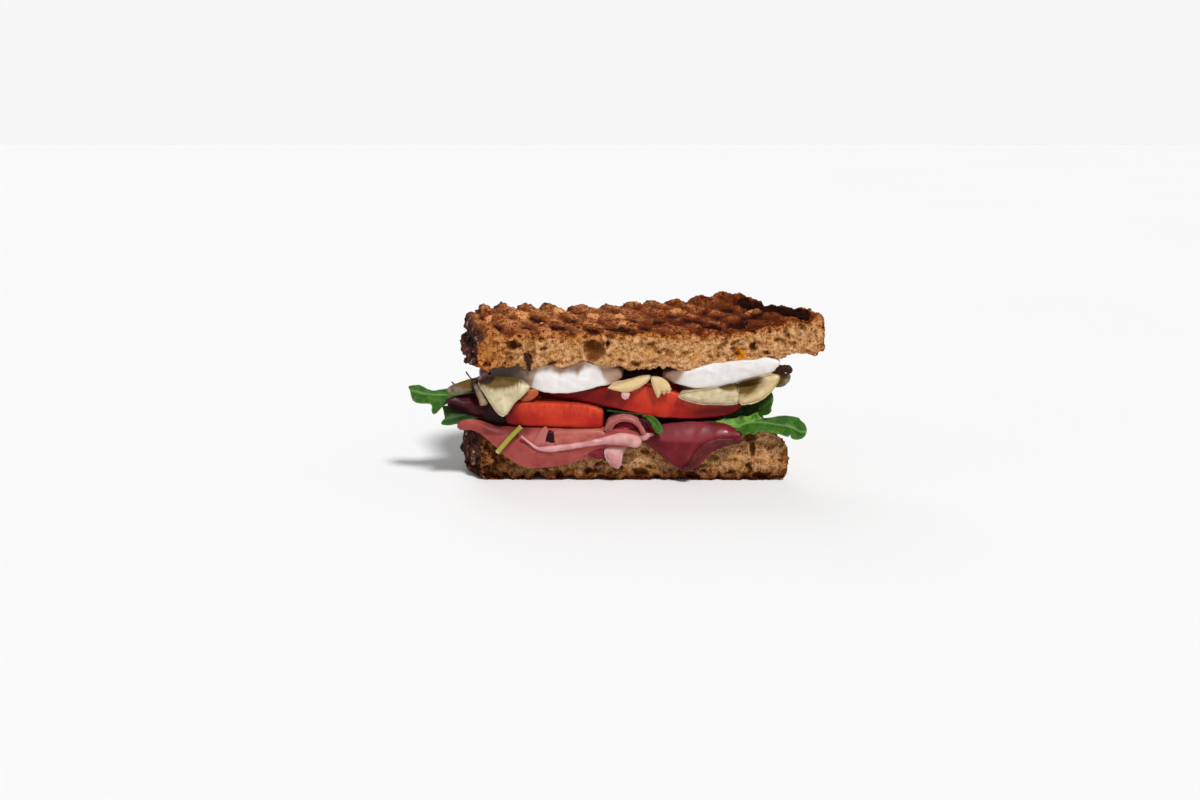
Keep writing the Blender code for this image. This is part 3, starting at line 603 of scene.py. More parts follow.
def breadTree():
    tree, given = newTree("ribbed and torn bread", crumb)
    place = addNode(tree, "GeometryNodeInputPosition") * (1 / mm) + tuple(middle)
    pressed, groove = ribsPressed(tree, given, place)
    geometry = storeValue(given["Geometry"], "groove", pressed)
    sinks = 0.7 * (namedValue(tree, "burn") * given["Up"]) + groove
    geometry = moveBy(geometry, vectorOf(tree, Z=sinks * (1.0 - 2.0 * given["Up"])))

    # holes in the crumb
    warp = 3.2 * (grain(place, 0.45, 3.0)["Color"] - 0.5)
    torn = (place + vectorOf(tree, X=given["Seed"], Z=given["Seed"]) + warp) * (0.85, 0.9, 1.25)
    hollow = calc("MAXIMUM", deepestHole(given, torn), namedValue(tree, "pit"))
    geometry = storeValue(geometry, "hollow", hollow)

    # push the holes in, tear the cut and roughen the crust
    cut, hollow = namedValue(tree, "cut"), namedValue(tree, "hollow")
    crust = fade(namedValue(tree, "rimDepth"), 3.5, 0.3) * (1.0 - cut)
    rough = signedGrain(torn, 0.2, 3.0) * (1.6 * crust + 2.4)
    rough = rough + signedGrain(torn, 0.8, 4.0) * (0.9 * crust + 1.5)
    outside = (rough * given["Crag"] - hollow * (0.05 * crust + 0.34)) * (1.0 - cut)
    ragged = (grain(torn, 0.55, 4.0, 0.65)["Color"] - 0.5) * (1.2, 2.6, 2.2) * (cut * given["Tear"])
    push = addNode(tree, "GeometryNodeInputNormal") * outside + ragged + vectorOf(tree, Y=hollow * cut)
    return endTree(moveBy(geometry, push), given)


def growTree(obj, tree, numbers, material):  # runs a node tree on an object and keeps its mesh
    modifier = obj.modifiers.new("shape", "NODES")
    modifier.node_group = tree
    for item in tree.interface.items_tree:
        if item.in_out == "INPUT" and item.name in numbers:
            modifier[item.identifier] = float(numbers[item.name])
        if item.in_out == "INPUT" and item.name == "Material":
            modifier[item.identifier] = material
    return settle(obj)


toast = {
    "crumbDark": screen(112, 62, 24), "crumbMid": screen(160, 108, 62), "crumbLight": screen(216, 170, 124),
    "toastDark": screen(66, 20, 2), "toastMid": screen(128, 68, 26), "toastLight": screen(198, 130, 70),
    "crestDark": screen(78, 24, 4), "crestMid": screen(130, 60, 22), "crestLight": screen(220, 154, 98),
    "brown": screen(84, 30, 12), "char": screen(30, 8, 4), "crustDark": screen(20, 9, 9),
    # crustLight: the crust's paler patches, partly a painted grey sheen
    "crustMid": screen(78, 54, 46), "crustLight": screen(168, 144, 132), "golden": screen(178, 108, 50),
    "bran": screen(104, 54, 22), "straw": screen(200, 146, 74), "seed": screen(206, 122, 24),
    # deep: painted shade, the brown the crumb gets deeper in its holes
    "deep": screen(92, 48, 18),
    # painted shade on the crumb where the fillings shade it; along the base's lowest few mm it is partly the
    # char of the underside
    "paintedShade": screen(52, 24, 12), "glow": screen(198, 112, 40),
}


def poresIn(place):
    torn = place + 2.6 * (grain(place, 0.7, 3.0)["Color"] - 0.5)
    pores = 0.0
    for scale, share in ((0.45, 0.34), (0.95, 0.4), (1.9, 0.3)):
        found = cells(torn, scale)
        edge = 0.45 * split(found["Color"])["X"] + 0.08
        pores = pores + share * fade(clamped(1.0 - found["Distance"] / edge), 0.0, 0.5)
    return pores


def softInside(place, at):  # toasted towards the outside, more at the left end
    # the crumb is painted darker in its pores and holes, as shade
    tone = at.middling + 0.8 * (at.small - 0.5) + 0.32 * (0.26 - at.pores) - 0.1 * at.hollow
    plain = ramp(tone, (0.26, toast["crumbDark"]), (0.48, toast["crumbMid"]), (0.72, toast["crumbLight"]))
    toasted = ramp(tone, (0.32, toast["toastDark"]), (0.49, toast["toastMid"]), (0.68, toast["toastLight"]))
    glow = fade(at.skin, 4.0, 1.6) * fade(at.x, 44.0, 10.0, 0.2, 0.6) * fade(at.wide, 0.42, 0.6, 0.3, 1.0)
    toasted = mixColour(glow * fade(tone, 0.4, 0.62), toasted, toast["glow"])
    plain = mixColour(fade(grain(place, 0.19, 3.0), 0.52, 0.66, 0.0, 0.4), plain, toast["straw"])
    fromSeed = calc("DISTANCE", place, bread["seedPlace"])["Value"]
    plain = mixColour(fade(1.4 * at.middling + fromSeed, 3.1, 2.6), plain, toast["seed"])
    specks = cells(place, 0.9)
    speck = fade(specks["Distance"], 0.34, 0.22) * fade(split(specks["Color"])["X"], 0.72, 0.8)
    plain = mixColour(0.75 * speck, plain, toast["bran"])
    leftSide = fade(at.rimDepth + at.drift, 21.0, 5.0) * fade(at.x, -18.0, -44.0)
    toasting = calc("MAXIMUM", fade(at.skin + at.drift, 4.8, 1.0), leftSide)
    colour = mixColour(0.92 * toasting, plain, toasted)
    # painted shade: the base's crumb darker at the lower left, under the ham
    lowLeft = fade(at.x, -26.0, -42.0) * fade(at.z, 23.0, 19.0) * fade(tone, 0.7, 0.4, 0.4, 0.85)
    colour = mixColour(lowLeft, colour, toast["paintedShade"])
    # darker towards the bottom: the base is painted a little darker all over, as the fillings' shade, and its
    # lowest few mm more, partly char of the underside and partly painted shadow
    lowDown = 0.5 * fade(at.z, 7.0, 1.0) + fade(at.z, 24.0, 22.0, 0.0, 0.14)
    colour = mixColour(lowDown, colour, toast["paintedShade"])
    # painted shade: darker brown deeper in the holes
    return mixColour(0.62 * fade(at.hollow, 0.5, 2.4), colour, toast["deep"])


def grilledFace(at):  # light crests, char along the grooves
    turnX, turnY = math.cos(bread["ribTurn"]), math.sin(bread["ribTurn"])
    across, along = at.x * turnX + at.y * turnY, at.y * turnX - at.x * turnY
    streaks = grain(vectorOf(at.x.tree, X=0.55 * across, Y=0.13 * along), 1.0, 4.0, 0.62)
    crest = at.middling + 1.3 * (at.small - 0.5) + 0.8 * (streaks - 0.5)
    # the grilled face is painted darker in its pores and holes, as shade
    crest = crest + 0.42 * (0.24 - at.pores) - 0.12 * at.hollow
    crest = crest + fade(at.x, -30.0, 60.0, 0.0, -0.12) + fade(at.burn, 0.0, -0.8, 0.0, 0.2)
    face = ramp(crest, (0.24, toast["crestDark"]), (0.5, toast["crestMid"]), (0.72, toast["crestLight"]))
    pressed = 0.55 * at.groove + 1.5 * (streaks - 0.5) + 1.9 * (at.middling - 0.5) + 1.6 * (at.wide - 0.5)
    pressed = pressed + 0.95 * at.burn + 0.8 * (at.small - 0.5)
    pressed = pressed + fade(at.x, 20.0, 60.0, 0.2, 0.42) + fade(at.y, 12.0, 3.0, 0.0, 0.16)
    face = mixColour(fade(pressed, 0.25, 0.9, 0.0, 0.85), face, toast["brown"])
    return mixColour(fade(pressed, 0.86, 1.2, 0.0, 0.92), face, toast["char"]), pressed


def sideCrust(place, at):  # black-brown at the left, golden at the right
    tone = grain(place * (1.0, 1.0, 0.35), 0.5, 4.0, 0.6) + 0.4 * (at.small - 0.5)
    # the palest crust tone is partly the crust's own paler patches, partly a painted grey sheen
    dark, light = ((0.36, toast["crustDark"]), (0.49, toast["crustMid"])), (0.7, toast["crustLight"])
    side = ramp(tone, *dark, (0.58, toast["brown"]), light)
    golden = mixColour(fade(at.middling, 0.35, 0.65), toast["brown"], toast["golden"])
    return mixColour(0.85 * fade(at.x, 14.0, 44.0), side, golden)


def breadMaterial():
    material, tree, place = startMaterial("toasted bread", {"IOR": 1.35, "Specular IOR Level": 0.06})
    place = place + tuple(middle)
    keys = ("cut", "skin", "groove", "hollow", "rimDepth", "burn")
    at = SimpleNamespace(**{key: attribute(tree, key) for key in keys})
    parts = split(place)
    at.x, at.y, at.z = parts["X"], parts["Y"], parts["Z"]
    at.wide = grain(place, 0.11, 3.0)
    at.middling = grain(place, 0.5, 4.0, 0.6)
    at.small = grain(place, 2.2, 4.0, 0.65)
    at.pores = poresIn(place)
    at.drift = 6.0 * (at.wide - 0.5) + 5.0 * (at.middling - 0.5)
    face, pressed = grilledFace(at)
    aroundRim = fade(0.3 * at.drift + at.rimDepth, 3.6, 0.8) * fade(at.burn, 0.7, 0.2)
    face = mixColour(aroundRim, face, sideCrust(place, at))
    outside = fade(at.skin, 0.9, 0.05) * (1.0 - at.cut)
    outside = calc("MAXIMUM", outside, fade(0.35 * at.drift + at.skin, 1.5, 0.3) * at.cut)
    colour = mixColour(outside, softInside(place, at), face)
    burnt = outside * fade(pressed, 0.9, 1.25)
    height = 0.6 * grain(place, 5.0, 4.0, 0.7) + at.small
    return finishMaterial(material, colour, 0.88 - 0.12 * burnt, height, 0.6, 0.0004)


breadLook = breadMaterial()
ribbedBread = breadTree()
slices = {}
for piece in (topSlice, baseSlice):
    numbers = {
        **crumb, "Groove": piece["groove"], "Flat": piece["flat"], "Up": piece["ribsUp"],
        "Front Share": piece["frontShare"], "Seed": piece["seed"],
    }
    made = growTree(makeSlice(piece, breadLook), ribbedBread, numbers, breadLook)
    slices[piece["name"]] = made
    print(made.name, len(made.data.polygons), "faces")


flakes = {"Density": 95000.0, "Smallest": 0.25, "Largest": 0.62, "Seed": 5.0}


def randomValue(tree, seed, smallest, largest):
    kind, first, output = ("FLOAT_VECTOR", 0, 0) if isinstance(largest, tuple) else ("FLOAT", 2, 1)
    values = {first: smallest, first + 1: largest, "Seed": seed}
    return addNode(tree, "FunctionNodeRandomValue", values, data_type=kind)[output]


def flakeTree():  # bits of crumb that cling to the torn cut
    tree, given = newTree("clinging crumbs", flakes)
    density = namedValue(tree, "cut") * given["Density"] * fade(namedValue(tree, "hollow"), 0.5, 0.1)
    values = {"Mesh": given["Geometry"], "Density": density, "Seed": given["Seed"]}
    points = addNode(tree, "GeometryNodeDistributePointsOnFaces", values)
    bit = addNode(tree, "GeometryNodeMeshIcoSphere", {"Radius": mm, "Subdivisions": 1})
    size = randomValue(tree, 7, given["Smallest"], given["Largest"])
    turn = randomValue(tree, 9, (0.0, 0.0, 0.0), (6.28, 6.28, 6.28))
    stretch = randomValue(tree, 11, (0.5, 0.5, 0.5), (1.5, 1.2, 1.0))
    values = {"Points": points, "Instance": bit, "Rotation": turn, "Scale": stretch * size}
    return endTree(addNode(tree, "GeometryNodeInstanceOnPoints", values), given)


clinging = flakeTree()
for name, plain in slices.items():
    bits = plain.copy()
    bits.data = plain.data.copy()
    bits.name = f"{name}Bits"
    bpy.context.scene.collection.objects.link(bits)
    growTree(bits, clinging, flakes, breadLook)
    dress(bits)
    print(bits.name, len(bits.data.polygons), "faces")
for piece in (topSlice, baseSlice):
    dress(slices[piece["name"]], piece["node"])
print("bread made")


# fillings, shared shapes

def remeshed(obj, voxel, rounds):
    remesh = obj.modifiers.new("even", "REMESH")
    remesh.mode = "VOXEL"
    remesh.voxel_size = voxel * mm
    relax = obj.modifiers.new("soft", "SMOOTH")
    relax.factor = 0.6
    relax.iterations = rounds
    return settle(obj)


def pushPoints(obj, amount):  # along the normals, in mm
    movePoints(obj, placesOf(obj) + normalsOf(obj) * np.asarray(amount)[:, None])


def heightCurve(points, rise=0.0):
    return lambda x, y: curveThrough(points, x) + rise * np.maximum(y - 8, 0)


def belowTopSlice(points):
    def height(x, y):
        against = topInner(x, y) - 0.3
        atCut = curveThrough(topSlice["lowerEdge"], x) + 0.5
        against = against + (atCut - against) * smoothStep((4.5 - y) / 4.5)
        share = smoothStep(y / 20)
        return np.minimum(curveThrough(points, x) * (1 - share) + against * share, against)
    return height


def roundSlice(name, piece, material):  # a rounded disc between two height curves, cut flat in front
    work = bmesh.new()
    bmesh.ops.create_uvsphere(work, u_segments=144, v_segments=50, radius=1.0)
    work.verts.index_update()
    a, b, c = np.array([vert.co[:] for vert in work.verts]).T
    faces = [[vert.index for vert in face.verts] for face in work.faces]
    work.free()
    flat, turn = np.hypot(a, b), np.arctan2(b, a)
    centre, reach, square = piece["centre"], piece["reach"], piece["square"]
    uneven = 1 + 0.025 * np.sin(2 * turn + centre[0]) + 0.015 * np.sin(5 * turn)
    spread = flat ** (2 / square) * uneven / np.maximum(flat, 1e-6)
    x, y = centre[0] + reach[0] * a * spread, centre[1] + reach[1] * b * spread
    low, high = piece["bottom"](x, y), piece["top"](x, y)
    z = (low + high) / 2 + np.sign(c) * np.abs(c) ** (2 / square) * (high - low) / 2
    if "cut" in piece:
        y = np.maximum(y, piece["cut"] + curveThrough(piece["recede"], x))
    obj = makeObject(name, np.column_stack((x, y, z)), faces, material)
    return remeshed(obj, piece["voxel"], piece["soft"])


def ringSurface(name, rings, material, attributes=None):  # closed rings in a row, single points at the ends
    rings = np.asarray(rings, float)
    count, sides = rings.shape[0] - 2, rings.shape[1]
    points = np.vstack((rings[0, :1], rings[1:-1].reshape(-1, 3), rings[-1, :1]))
    last = len(points) - 1
    faces = []
    for k in range(sides):
        after = (k + 1) % sides
        faces.append((0, 1 + after, 1 + k))
        for r in range(count - 1):
            one, two = 1 + r * sides, 1 + (r + 1) * sides
            faces.append((one + k, one + after, two + after, two + k))
        faces.append((1 + (count - 1) * sides + k, 1 + (count - 1) * sides + after, last))
    made = {
        key: np.concatenate((values[:1], np.repeat(values[1:-1], sides), values[-1:]))
        for key, values in (attributes or {}).items()
    }
    return makeObject(name, points, faces, material, made)


def tube(name, path, widths, material, sides=18, steps=70, flatEnds=False):
    # path points (x, y, z), widths (share, half width, half height)
    path = np.asarray(path, float)
    lengths = np.concatenate(([0.0], np.cumsum(np.linalg.norm(np.diff(path, axis=0), axis=1))))
    at = np.linspace(0, 1, steps)
    if flatEnds:
        at = np.concatenate(([0, 0], at, [1, 1]))
    onPath = at * lengths[-1]
    line = np.stack([curveThrough(list(zip(lengths, path[:, k])), onPath) for k in range(3)], axis=1)
    wide = curveThrough([(w[0], w[1]) for w in widths], at)
    tall = curveThrough([(w[0], w[2]) for w in widths], at)
    if flatEnds:
        closing = np.ones(len(at))
        closing[[0, -1]], closing[[1, -2]] = 0.0, 0.8
    else:
        fromEnd = np.minimum(at, 1 - at) * lengths[-1]
        closing = np.sqrt(1 - (1 - np.clip(fromEnd / np.maximum(tall, wide), 0, 1)) ** 2)
    ahead = np.gradient(line, axis=0)
    ahead[0], ahead[-1] = line[3] - line[0], line[-1] - line[-4]
    ahead /= np.maximum(np.linalg.norm(ahead, axis=1), 1e-9)[:, None]
    side = np.cross(ahead, (0.0, 0.0, 1.0))
    side /= np.linalg.norm(side, axis=1)[:, None]
    up = np.cross(side, ahead)
    turns = np.linspace(0, math.tau, sides, endpoint=False)
    ring = side[:, None] * (np.cos(turns)[None] * (wide * closing)[:, None])[..., None]
    ring = ring + up[:, None] * (np.sin(turns)[None] * (tall * closing)[:, None])[..., None]
    return ringSurface(name, line[:, None] + ring, material, {"along": at * lengths[-1]})


def sheet(name, piece, shape, material):  # a closed sheet with rounded edges over a grid of (u, v)
    length, width = piece["size"]
    thickness = piece["thickness"]

    def shares(size, count):
        inset = np.array((0, 0.08, 0.35, 1.0)) * thickness / 2 / size
        middlePart = np.linspace(inset[-1], 1 - inset[-1], count)
        return np.concatenate((inset[:-1], middlePart, 1 - inset[:-1][::-1]))

    u, v = shares(length, piece["counts"][0]), shares(width, piece["counts"][1])
    uu, vv = np.meshgrid(u, v, indexing="ij")
    between = shape(uu, vv)
    normal = np.cross(np.gradient(between, u, axis=0), np.gradient(between, v, axis=1))
    normal /= np.maximum(np.linalg.norm(normal, axis=2), 1e-9)[..., None]
    alongU, alongV = uu * length, vv * width
    edge = np.minimum(np.minimum(alongU, length - alongU), np.minimum(alongV, width - alongV))
    rounding = np.sqrt(1 - (1 - np.clip(edge / (thickness / 2), 0, 1)) ** 2)
    lift = np.zeros(uu.shape)
    for k, (amount, sizeU, sizeV) in enumerate(piece["waves"]):
        lift = lift + amount * ripple(alongU / sizeU, alongV / sizeV, 3.0 * k, 1.0)
    between = between + normal * lift[..., None]
    offset = normal * (rounding * thickness / 2)[..., None]
    upper, lower = between + offset, between - offset
    rows, columns = uu.shape
    upIndex = np.arange(uu.size).reshape(rows, columns)
    downIndex = upIndex.copy()
    inner = (slice(1, -1), slice(1, -1))
    downIndex[inner] = uu.size + np.arange((rows - 2) * (columns - 2)).reshape(rows - 2, columns - 2)
    points = np.vstack((upper.reshape(-1, 3), lower[inner].reshape(-1, 3)))

    def quads(index):
        corners = (index[:-1, :-1], index[1:, :-1], index[1:, 1:], index[:-1, 1:])
        return np.stack([c.ravel() for c in corners], axis=1)

    faces = quads(upIndex).tolist() + quads(downIndex)[:, ::-1].tolist()

    def both(values):
        return np.concatenate((values.ravel(), values[inner].ravel()))

    attributes = {"sheetU": both(alongU), "sheetV": both(alongV), "edge": both(edge)}
    attributes["under"] = np.concatenate((np.zeros(uu.size), np.ones((rows - 2) * (columns - 2))))
    return makeObject(name, points, faces, material, attributes)


def cornersCut(outline, rounds):  # rounds the corners of a closed outline
    line = np.asarray(outline, float)
    for _ in range(rounds):
        after = np.roll(line, -1, axis=0)
        line = np.stack((0.82 * line + 0.18 * after, 0.18 * line + 0.82 * after), axis=1).reshape(-1, 2)
    return line


def outlineDistance(x, z, outline):  # to the nearest side of a closed outline
    best = np.full(len(x), 1e9)
    for (ax, az), (bx, bz) in zip(outline, np.roll(outline, -1, axis=0)):
        span = max((bx - ax) ** 2 + (bz - az) ** 2, 1e-9)
        share = np.clip(((x - ax) * (bx - ax) + (z - az) * (bz - az)) / span, 0, 1)
        best = np.minimum(best, np.hypot(x - ax - share * (bx - ax), z - az - share * (bz - az)))
    return best


def spot(x, z, settings):  # 1 in the middle of an ellipse, 0 at its edge
    (cx, cz), (rx, rz) = settings[:2]
    return smoothStep(1 - np.hypot((x - cx) / rx, (z - cz) / rz))


slabUsual = {  # what a slab has where its own settings don't say: its back's size and place, and so on
    "scale": (0.9, 0.8), "move": (0.0, 0.6), "round": 1.6, "lean": (0.0, 0.0), "voxel": 0.3,
}


def slab(name, piece, material):  # an outline seen from the front, drawn back by "deep", with soft edges
    piece = {**slabUsual, **piece}
    outline = cornersCut(piece["outline"], 2)
    centre = outline.mean(axis=0)
    back = centre + (outline - centre) * piece["scale"] + piece["move"]
    count = len(outline)
    front = np.column_stack((outline[:, 0], np.full(count, piece["front"]), outline[:, 1]))
    rear = np.column_stack((back[:, 0], np.full(count, piece["front"] + piece["deep"]), back[:, 1]))
    after = (np.arange(count) + 1) % count
    faces = [list(range(count)), list(range(2 * count - 1, count - 1, -1))]
    faces += np.column_stack((np.arange(count), count + np.arange(count), count + after, after)).tolist()
    obj = remeshed(makeObject(name, np.vstack((front, rear)), faces, material), piece["voxel"], 3)
    places = placesOf(obj)
    x, y, z = places.T
    facing = np.clip(-normalsOf(obj)[:, 1], 0, 1)
    rim = outlineDistance(x, z, outline)
    soft = piece["round"]
    inwards = 1 - np.clip(rim / soft, 0, 1)
    places[:, 1] += facing * (soft * (1 - np.sqrt(1 - 0.98 * inwards**2)) - 0.4 * smoothStep(rim / 4.0))
    leanX, leanZ = piece["lean"]
    places[:, 1] += leanX * (x - centre[0]) + leanZ * (z - centre[1])
    movePoints(obj, places)
    return obj, rim, facing


# tomato

tomatoSlices = {
    "tomatoLeft": {
        "node": "tomato_left", "centre": (-19.8, 0.0), "reach": (17.6, 15.0), "square": 9, "cut": -2.2,
        "recede": ((-38, 2.0), (-33, 0.3), (0, 0.0)),
        "bottom": heightCurve(((-38, 20.2), (-20, 19.7), (-2, 18.9))),
        "top": heightCurve(((-38, 28.6), (-20, 28.1), (-9, 27.4), (-2, 26.0))),
        "voxel": 0.36, "soft": 4, "wave": 0.08,
    },
    "tomatoRight": {
        "node": "tomato_right", "centre": (11.0, 5.0), "reach": (37.0, 35.0), "square": 5, "cut": -0.9,
        "recede": ((-26, 9.0), (-18, 5.4), (-8, 1.6), (0, 0.0), (48, 0.0)),
        "bottom": heightCurve((
            (-26, 28.4), (-12, 28.2), (-4, 27.2), (4, 25.6), (14, 23.4), (25, 22.6), (34, 22.6), (42, 23.8),
            (48, 26.8),
        ), 0.03),
        "top": heightCurve((
            (-26, 31.0), (-17, 31.7), (-10, 32.4), (-3.5, 33.4), (4, 34.2), (12, 34.4), (20, 32.6),
            (26, 30.6), (34, 29.0), (48, 28.8),
        ), 0.04),
        "voxel": 0.42, "soft": 4, "wave": 0.09,
    },
    "tomatoBack": {
        "node": "tomato_back", "centre": (-22.0, 31.0), "reach": (14.0, 12.0), "square": 5,
        "bottom": heightCurve(((-36, 20.4), (-8, 20.4))),
        "top": heightCurve(((-36, 27.6), (-8, 27.6))),
        "voxel": 0.42, "soft": 4, "wave": 0.14,
    },
}

tomatoTones = {
    # light: paler flesh for the streaks, and a painted highlight on the upper band
    "flesh": screen(188, 50, 28), "light": screen(208, 84, 52), "deep": screen(162, 28, 18),
    # the deep red the cut is painted with where the fillings shade it: painted shade
    "paintedShade": screen(104, 0, 3), "brown": screen(160, 88, 50),
}


def tomatoMaterial():
    settings = {
        "IOR": 1.38, "Specular IOR Level": 0.2, "Coat Weight": 0.05, "Coat Roughness": 0.12,
        "Subsurface Weight": 0.35, "Subsurface Scale": 0.003, "Subsurface Radius": (1.0, 0.25, 0.1),
    }
    material, tree, place = startMaterial("tomato flesh", settings)
    streaks = grain(place * (1.0, 1.0, 0.25), 1.3, 3.0, 0.6)
    soft = grain(place, 0.16, 3.0)
    colour = mixColour(fade(soft, 0.35, 0.7), tomatoTones["flesh"], tomatoTones["deep"])
    # painted highlight: the upper band of the cut is painted lighter; the same light tone also gives the
    # flesh its paler streaks below
    light = fade(attribute(tree, "band"), 0.35, 0.95) * fade(streaks, 0.2, 0.8)
    colour = mixColour(0.7 * light, colour, tomatoTones["light"])
    colour = mixColour(fade(streaks, 0.5, 0.9, 0.0, 0.16), colour, tomatoTones["light"])
    # painted shade where the fillings shade the cut, and the end piece's own brown
    for key in ("paintedShade", "brown"):
        colour = mixColour(attribute(tree, key), colour, tomatoTones[key])
    height = streaks + grain(place, 3.0, 2.0)
    return finishMaterial(material, colour, fade(soft, 0.3, 0.7, 0.3, 0.42), height, 0.12, 0.0002)


def paintedShadeAt(name, x, z):  # how dark a slice is where the fillings round it shade it
    if name == "tomatoLeft":
        return smoothStep((-28.0 - x + 0.5 * (24 - z)) / 8) + 0.35 * smoothStep((21.4 - z) / 1.6)
    if name == "tomatoRight":
        rightEnd = smoothStep((x - 12) / 26) * smoothStep((27.4 - z) / 3.2) + 0.85 * smoothStep((x - 24) / 22)
        return rightEnd + smoothStep((12 - x) / 16)
    return 0.0


tomatoEnd = {
    "path": ((-31.6, -1.0, 29.2), (-28.6, -1.4, 30.9), (-25.4, -0.8, 32.4)),
    "widths": ((0, 0.8, 0.9), (0.5, 1.0, 1.9), (1, 0.6, 1.2)), "brown": 0.85,
}

tomatoLook = tomatoMaterial()
for name, piece in tomatoSlices.items():
    obj = roundSlice(name, piece, tomatoLook)
    x, y, z = placesOf(obj).T
    pushPoints(obj, piece["wave"] * (ripple(x / 3, y / 3, z / 6, 1) + 0.5 * ripple(x, y, z / 3, 1)))
    low, high = piece["bottom"](x, y), piece["top"](x, y)
    storePoints(obj, "band", (z - low) / (high - low))
    # painted shade on the cut
    storePoints(obj, "paintedShade", np.clip(paintedShadeAt(name, x, z), 0, 0.92))
    dress(obj, piece["node"])
obj = tube("tomatoEnd", tomatoEnd["path"], tomatoEnd["widths"], tomatoLook)
storePoints(obj, "brown", tomatoEnd["brown"])
dress(obj)
print("tomato made")


# mozzarella

cheeseSlices = {
    "mozzarellaLeft": {
        "node": "mozzarella_left", "centre": (-19.2, 6.0), "reach": (24.0, 24.0), "square": 6, "cut": -1.4,
        "recede": (
            (-43, 9.0), (-37, 6.4), (-31, 2.4), (-26, 0.2), (-22, 0.0), (-5, 0.0), (0, 1.6), (5, 4.0),
        ),
        "bottom": heightCurve((
            (-43, 36.3), (-39, 35.0), (-33.6, 33.9), (-27.6, 33.0), (-24.5, 32.2), (-21.3, 31.6),
            (-17, 31.4), (-12.5, 31.8), (-8, 32.8), (-3.8, 33.9), (0.4, 34.3), (5, 35.8),
        ), 0.09),
        "top": belowTopSlice(((-43, 41.6), (-10, 43.0), (6, 41.6))),
    },
    "mozzarellaRight": {
        "node": "mozzarella_right", "centre": (38.8, 4.0), "reach": (20.2, 22.0), "square": 4, "cut": -1.0,
        "recede": ((18, 5.0), (22, 2.0), (26, 0.0), (60, 0.0)),
        "bottom": heightCurve((
            (18, 35.8), (22.5, 34.5), (27.7, 33.6), (33, 33.4), (39.3, 34.3), (45.2, 35.8), (51.1, 37.2),
            (59, 38.9),
        )),
        "top": belowTopSlice(((18, 38.6), (24, 40.6), (34, 43.0), (50, 45.0), (59, 44.4))),
    },
    "mozzarellaBack": {
        "node": "mozzarella_back", "centre": (14.0, 40.0), "reach": (23.6, 12.4), "square": 4,
        "bottom": heightCurve(((-11, 33.0), (10, 33.4), (38, 35.6))),
        "top": belowTopSlice(((-11, 42.6), (10, 42.8), (38, 45.0))),
    },
}


cheeseTones = {
    "white": screen(225, 222, 221), "milky": screen(213, 207, 203), "layer": screen(206, 198, 186),
    # the top slice's painted shadow on the cut: near the bread it also stands for the bread's juice, at the
    # left end it is deeper shade
    "oil": screen(162, 128, 102), "oilAbove": screen(104, 62, 20), "oilLeft": screen(92, 70, 52),
}


def cheeseMaterial():
    settings = {
        "IOR": 1.4, "Specular IOR Level": 0.25, "Coat Weight": 0.08, "Coat Roughness": 0.2,
        "Subsurface Weight": 0.3, "Subsurface Scale": 0.004, "Subsurface Radius": (1.0, 0.85, 0.7),
    }
    material, tree, place = startMaterial("mozzarella", settings)
    layers = grain(place * (0.5, 0.5, 2.2), 0.5, 3.0, 0.55)
    soft = grain(place, 0.2, 2.0)
    colour = mixColour(fade(soft, 0.3, 0.7), cheeseTones["milky"], cheeseTones["white"])
    colour = mixColour(fade(layers, 0.55, 0.8, 0.0, 0.25), colour, cheeseTones["layer"])
    parts = split(place + tuple(middle))
    # painted shadow of the top slice, browner near the bread where its juice is also painted, darker at the
    # shaded left end
    shadowTone = mixColour(fade(parts["Z"], 37.8, 40.2), cheeseTones["oil"], cheeseTones["oilAbove"])
    shadowTone = mixColour(fade(parts["X"], -27.0, -31.0), shadowTone, cheeseTones["oilLeft"])
    paintedBreadShadow = attribute(tree, "paintedBreadShadow") * fade(parts["Y"], 14.0, 7.0)
    colour = mixColour(0.9 * paintedBreadShadow, colour, shadowTone)
    return finishMaterial(material, colour, fade(soft, 0.3, 0.7, 0.32, 0.48), layers, 0.2, 0.0002)


whiteTops = {  # x, z up to which the cut is clean and white; above it the bread's shadow is painted on, with the bread's juice near it
    "mozzarellaLeft": (
        (-28.4, 32.0), (-27.6, 34.6), (-26.6, 37.8), (-25.6, 39.5), (-23.8, 40.0), (-20.7, 39.8),
        (-18.7, 38.9), (-17.8, 37.8), (-16.9, 38.9), (-14.9, 39.6), (-12.8, 39.3), (-11.6, 38.0),
        (-10.7, 39.6), (-9.0, 41.1), (-6.9, 41.4), (-4.5, 40.7), (-3.5, 39.3), (-2.8, 37.1), (-1.1, 35.0),
        (0.7, 33.5), (3.0, 32.0),
    ),
    "mozzarellaRight": ((18.0, 30.0), (21.0, 33.0), (23.8, 36.4), (26.0, 39.6), (28.4, 43.0), (31.4, 48.0)),
    "mozzarellaBack": ((-99.0, 99.0), (99.0, 99.0)),
}

cheeseLook = cheeseMaterial()
for name, piece in cheeseSlices.items():
    obj = roundSlice(name, {**piece, "voxel": 0.4, "soft": 6}, cheeseLook)
    x, y, z = placesOf(obj).T
    front = smoothStep((6 - y) / 6)
    lobes = 0.5 * ripple(x, 0.0, z / 4, 5.2) * front
    pushPoints(obj, lobes + 0.22 * ripple(x, y, z * 1.6, 3.2) + 0.06 * ripple(x, y, z, 0.9))
    # where the bread's painted shadow lies: above a ragged line
    whiteTop = np.interp(x, *np.array(whiteTops[name]).T)
    storePoints(obj, "paintedBreadShadow", smoothStep(0.5 + (z + 0.8 * ripple(x, 0.0, z, 2.4) - whiteTop) / 3.4))
    dress(obj, piece["node"])
print("mozzarella made")
